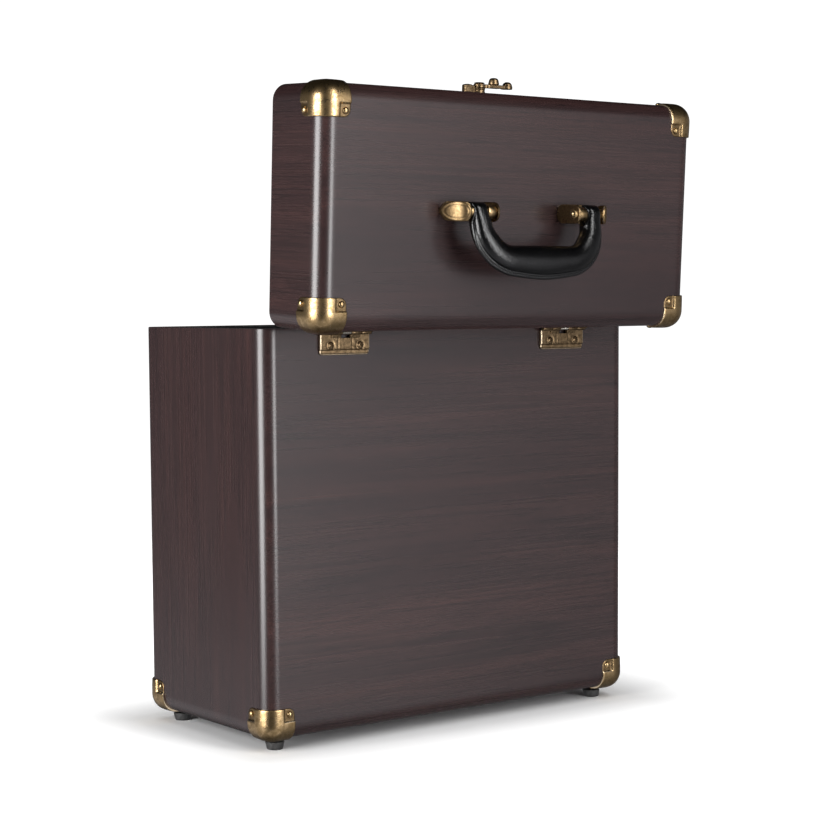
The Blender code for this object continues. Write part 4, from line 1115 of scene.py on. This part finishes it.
def stage():
    """A white floor under the feet, which glows more the further it is from the case and so leaves a
    painted shadow round it, and a white surround for the camera.
    """
    shade = Shade("white_floor", Specular_IOR_Level=0.1)
    wash = shade.noise(3.0, 2.0)
    colour = shade.mix(wash, (0.90, 0.90, 0.90), (0.94, 0.94, 0.94))
    mat = shade.finish(colour, shade.ramp(wash, 0.85, 0.95))
    reach = shade.node("VectorMath", operation="LENGTH")
    shade.link(shade.coords, reach.inputs[0])
    shade.link(shade.ramp(reach.outputs["Value"], 1.0, 0.0, 0.85, 1.35), shade.out.inputs["Alpha"])
    # Painted light: the floor's glow grows with its distance from the case's footprint, which paints a
    # shadow round the case.
    past = shade.coords
    for step, by in (("ABSOLUTE", None), ("SUBTRACT", (WIDTH / 2, DEPTH / 2, 0.0)),
                     ("MAXIMUM", (0.0, 0.0, 0.0)), ("MULTIPLY", (1.0, 1.0, 0.0))):
        made = shade.node("VectorMath", operation=step)
        shade.link(past, made.inputs[0])
        if by is not None:
            made.inputs[1].default_value = by
        past = made.outputs["Vector"]
    gap = shade.node("VectorMath", operation="LENGTH")
    shade.link(past, gap.inputs[0])
    shade.out.inputs["Emission Color"].default_value = (1, 1, 1, 1)
    painted_floor_glow = shade.ramp(gap.outputs["Value"], 0.0, 0.80, 0.008, 0.12)
    shade.link(painted_floor_glow, shade.out.inputs["Emission Strength"])
    bm = bmesh.new()
    bmesh.ops.create_grid(bm, x_segments=2, y_segments=2, size=1.5)
    mesh = bpy.data.meshes.new("floor")
    bm.to_mesh(mesh)
    bm.free()
    mesh.materials.append(mat)
    floor = add_object("floor", mesh)
    floor.location.z = -FOOT_HEIGHT
    floor.visible_glossy = False
    surround()


def surround():
    """A studio that is white behind and beside the object, and dark overhead and by the camera."""
    world = bpy.data.worlds.new("studio")
    bpy.context.scene.world = world
    world.use_nodes = True
    tree = world.node_tree
    tree.nodes.clear()

    def toward(direction, low, high, first, last):
        dot = add_node(tree, "VectorMath", {1: direction}, operation="DOT_PRODUCT")
        tree.links.new(coords.outputs["Generated"], dot.inputs[0])
        made = add_node(tree, "MapRange", map_values(first, last, low, high),
                        interpolation_type="SMOOTHSTEP")
        tree.links.new(dot.outputs["Value"], made.inputs["Value"])
        return made.outputs["Result"]

    def times(first, second, kind="MULTIPLY"):
        made = add_node(tree, "Math", operation=kind)
        tree.links.new(first, made.inputs[0])
        tree.links.new(second, made.inputs[1])
        return made.outputs["Value"]

    coords = add_node(tree, "TexCoord")
    back = outward(AZIMUTH)
    right = outward(AZIMUTH + 90)
    up = (0, 0, 1)
    level = times(toward(right, -0.2, 0.9, 0.21, 0.42), toward(back, 0.11, 0.36, 0.50, 2.5))
    level = times(level, toward(up, -0.25, 0.12, 0.85, 1.15))
    level = times(level, toward(back, 0.72, 0.94, 1.0, 0.05))
    level = times(level, toward(up, 0.20, 0.42, 1.0, 0.03))
    low = times(toward(right, -0.9, -0.3, 0.55, 0.0), toward(up, -0.22, -0.13, 1.0, 0.0))
    level = times(level, low, "ADD")
    path = add_node(tree, "LightPath")
    seen = add_node(tree, "Background", {"Color": (1, 1, 1, 1), "Strength": 1.1})
    fill = add_node(tree, "Background", {"Color": (0.96, 0.96, 1.0, 1)})
    tree.links.new(level, fill.inputs["Strength"])
    blend = add_node(tree, "MixShader")
    tree.links.new(path.outputs["Is Camera Ray"], blend.inputs["Fac"])
    tree.links.new(fill.outputs[0], blend.inputs[1])
    tree.links.new(seen.outputs[0], blend.inputs[2])
    target = add_node(tree, "OutputWorld")
    tree.links.new(blend.outputs[0], target.inputs["Surface"])


def camera():
    """The camera at the photographer's place, with its small roll and shift."""
    lens = bpy.data.cameras.new("camera")
    lens.sensor_width = 36.0
    lens.lens = 87.46
    lens.shift_y = 0.0582
    obj = add_object("camera", lens)
    roll = math.radians(-0.345)
    back = outward(AZIMUTH, 4.723)
    right = outward(AZIMUTH + 90)
    up = back.cross(right)
    level = right * math.cos(roll) + up * math.sin(roll)
    tall = -right * math.sin(roll) + up * math.cos(roll)
    turn = Matrix((level, tall, back)).transposed().to_4x4()
    obj.matrix_world = Matrix.Translation((0.9485, 1.2836, 0.3216)) @ turn
    bpy.context.scene.camera = obj


bpy.context.scene.view_settings.view_transform = "Standard"
stage()
softbox("left_softbox", AZIMUTH - 46, 8, 1.7, 0.86, 1.3, 11.0)
softbox("right_softbox", AZIMUTH + 44, 18, 1.7, 0.50, 1.8, 8.5)
softbox("overhead", AZIMUTH, 89, 3.0, 4.5, 4.5, 1.1, glossy=False)
camera()
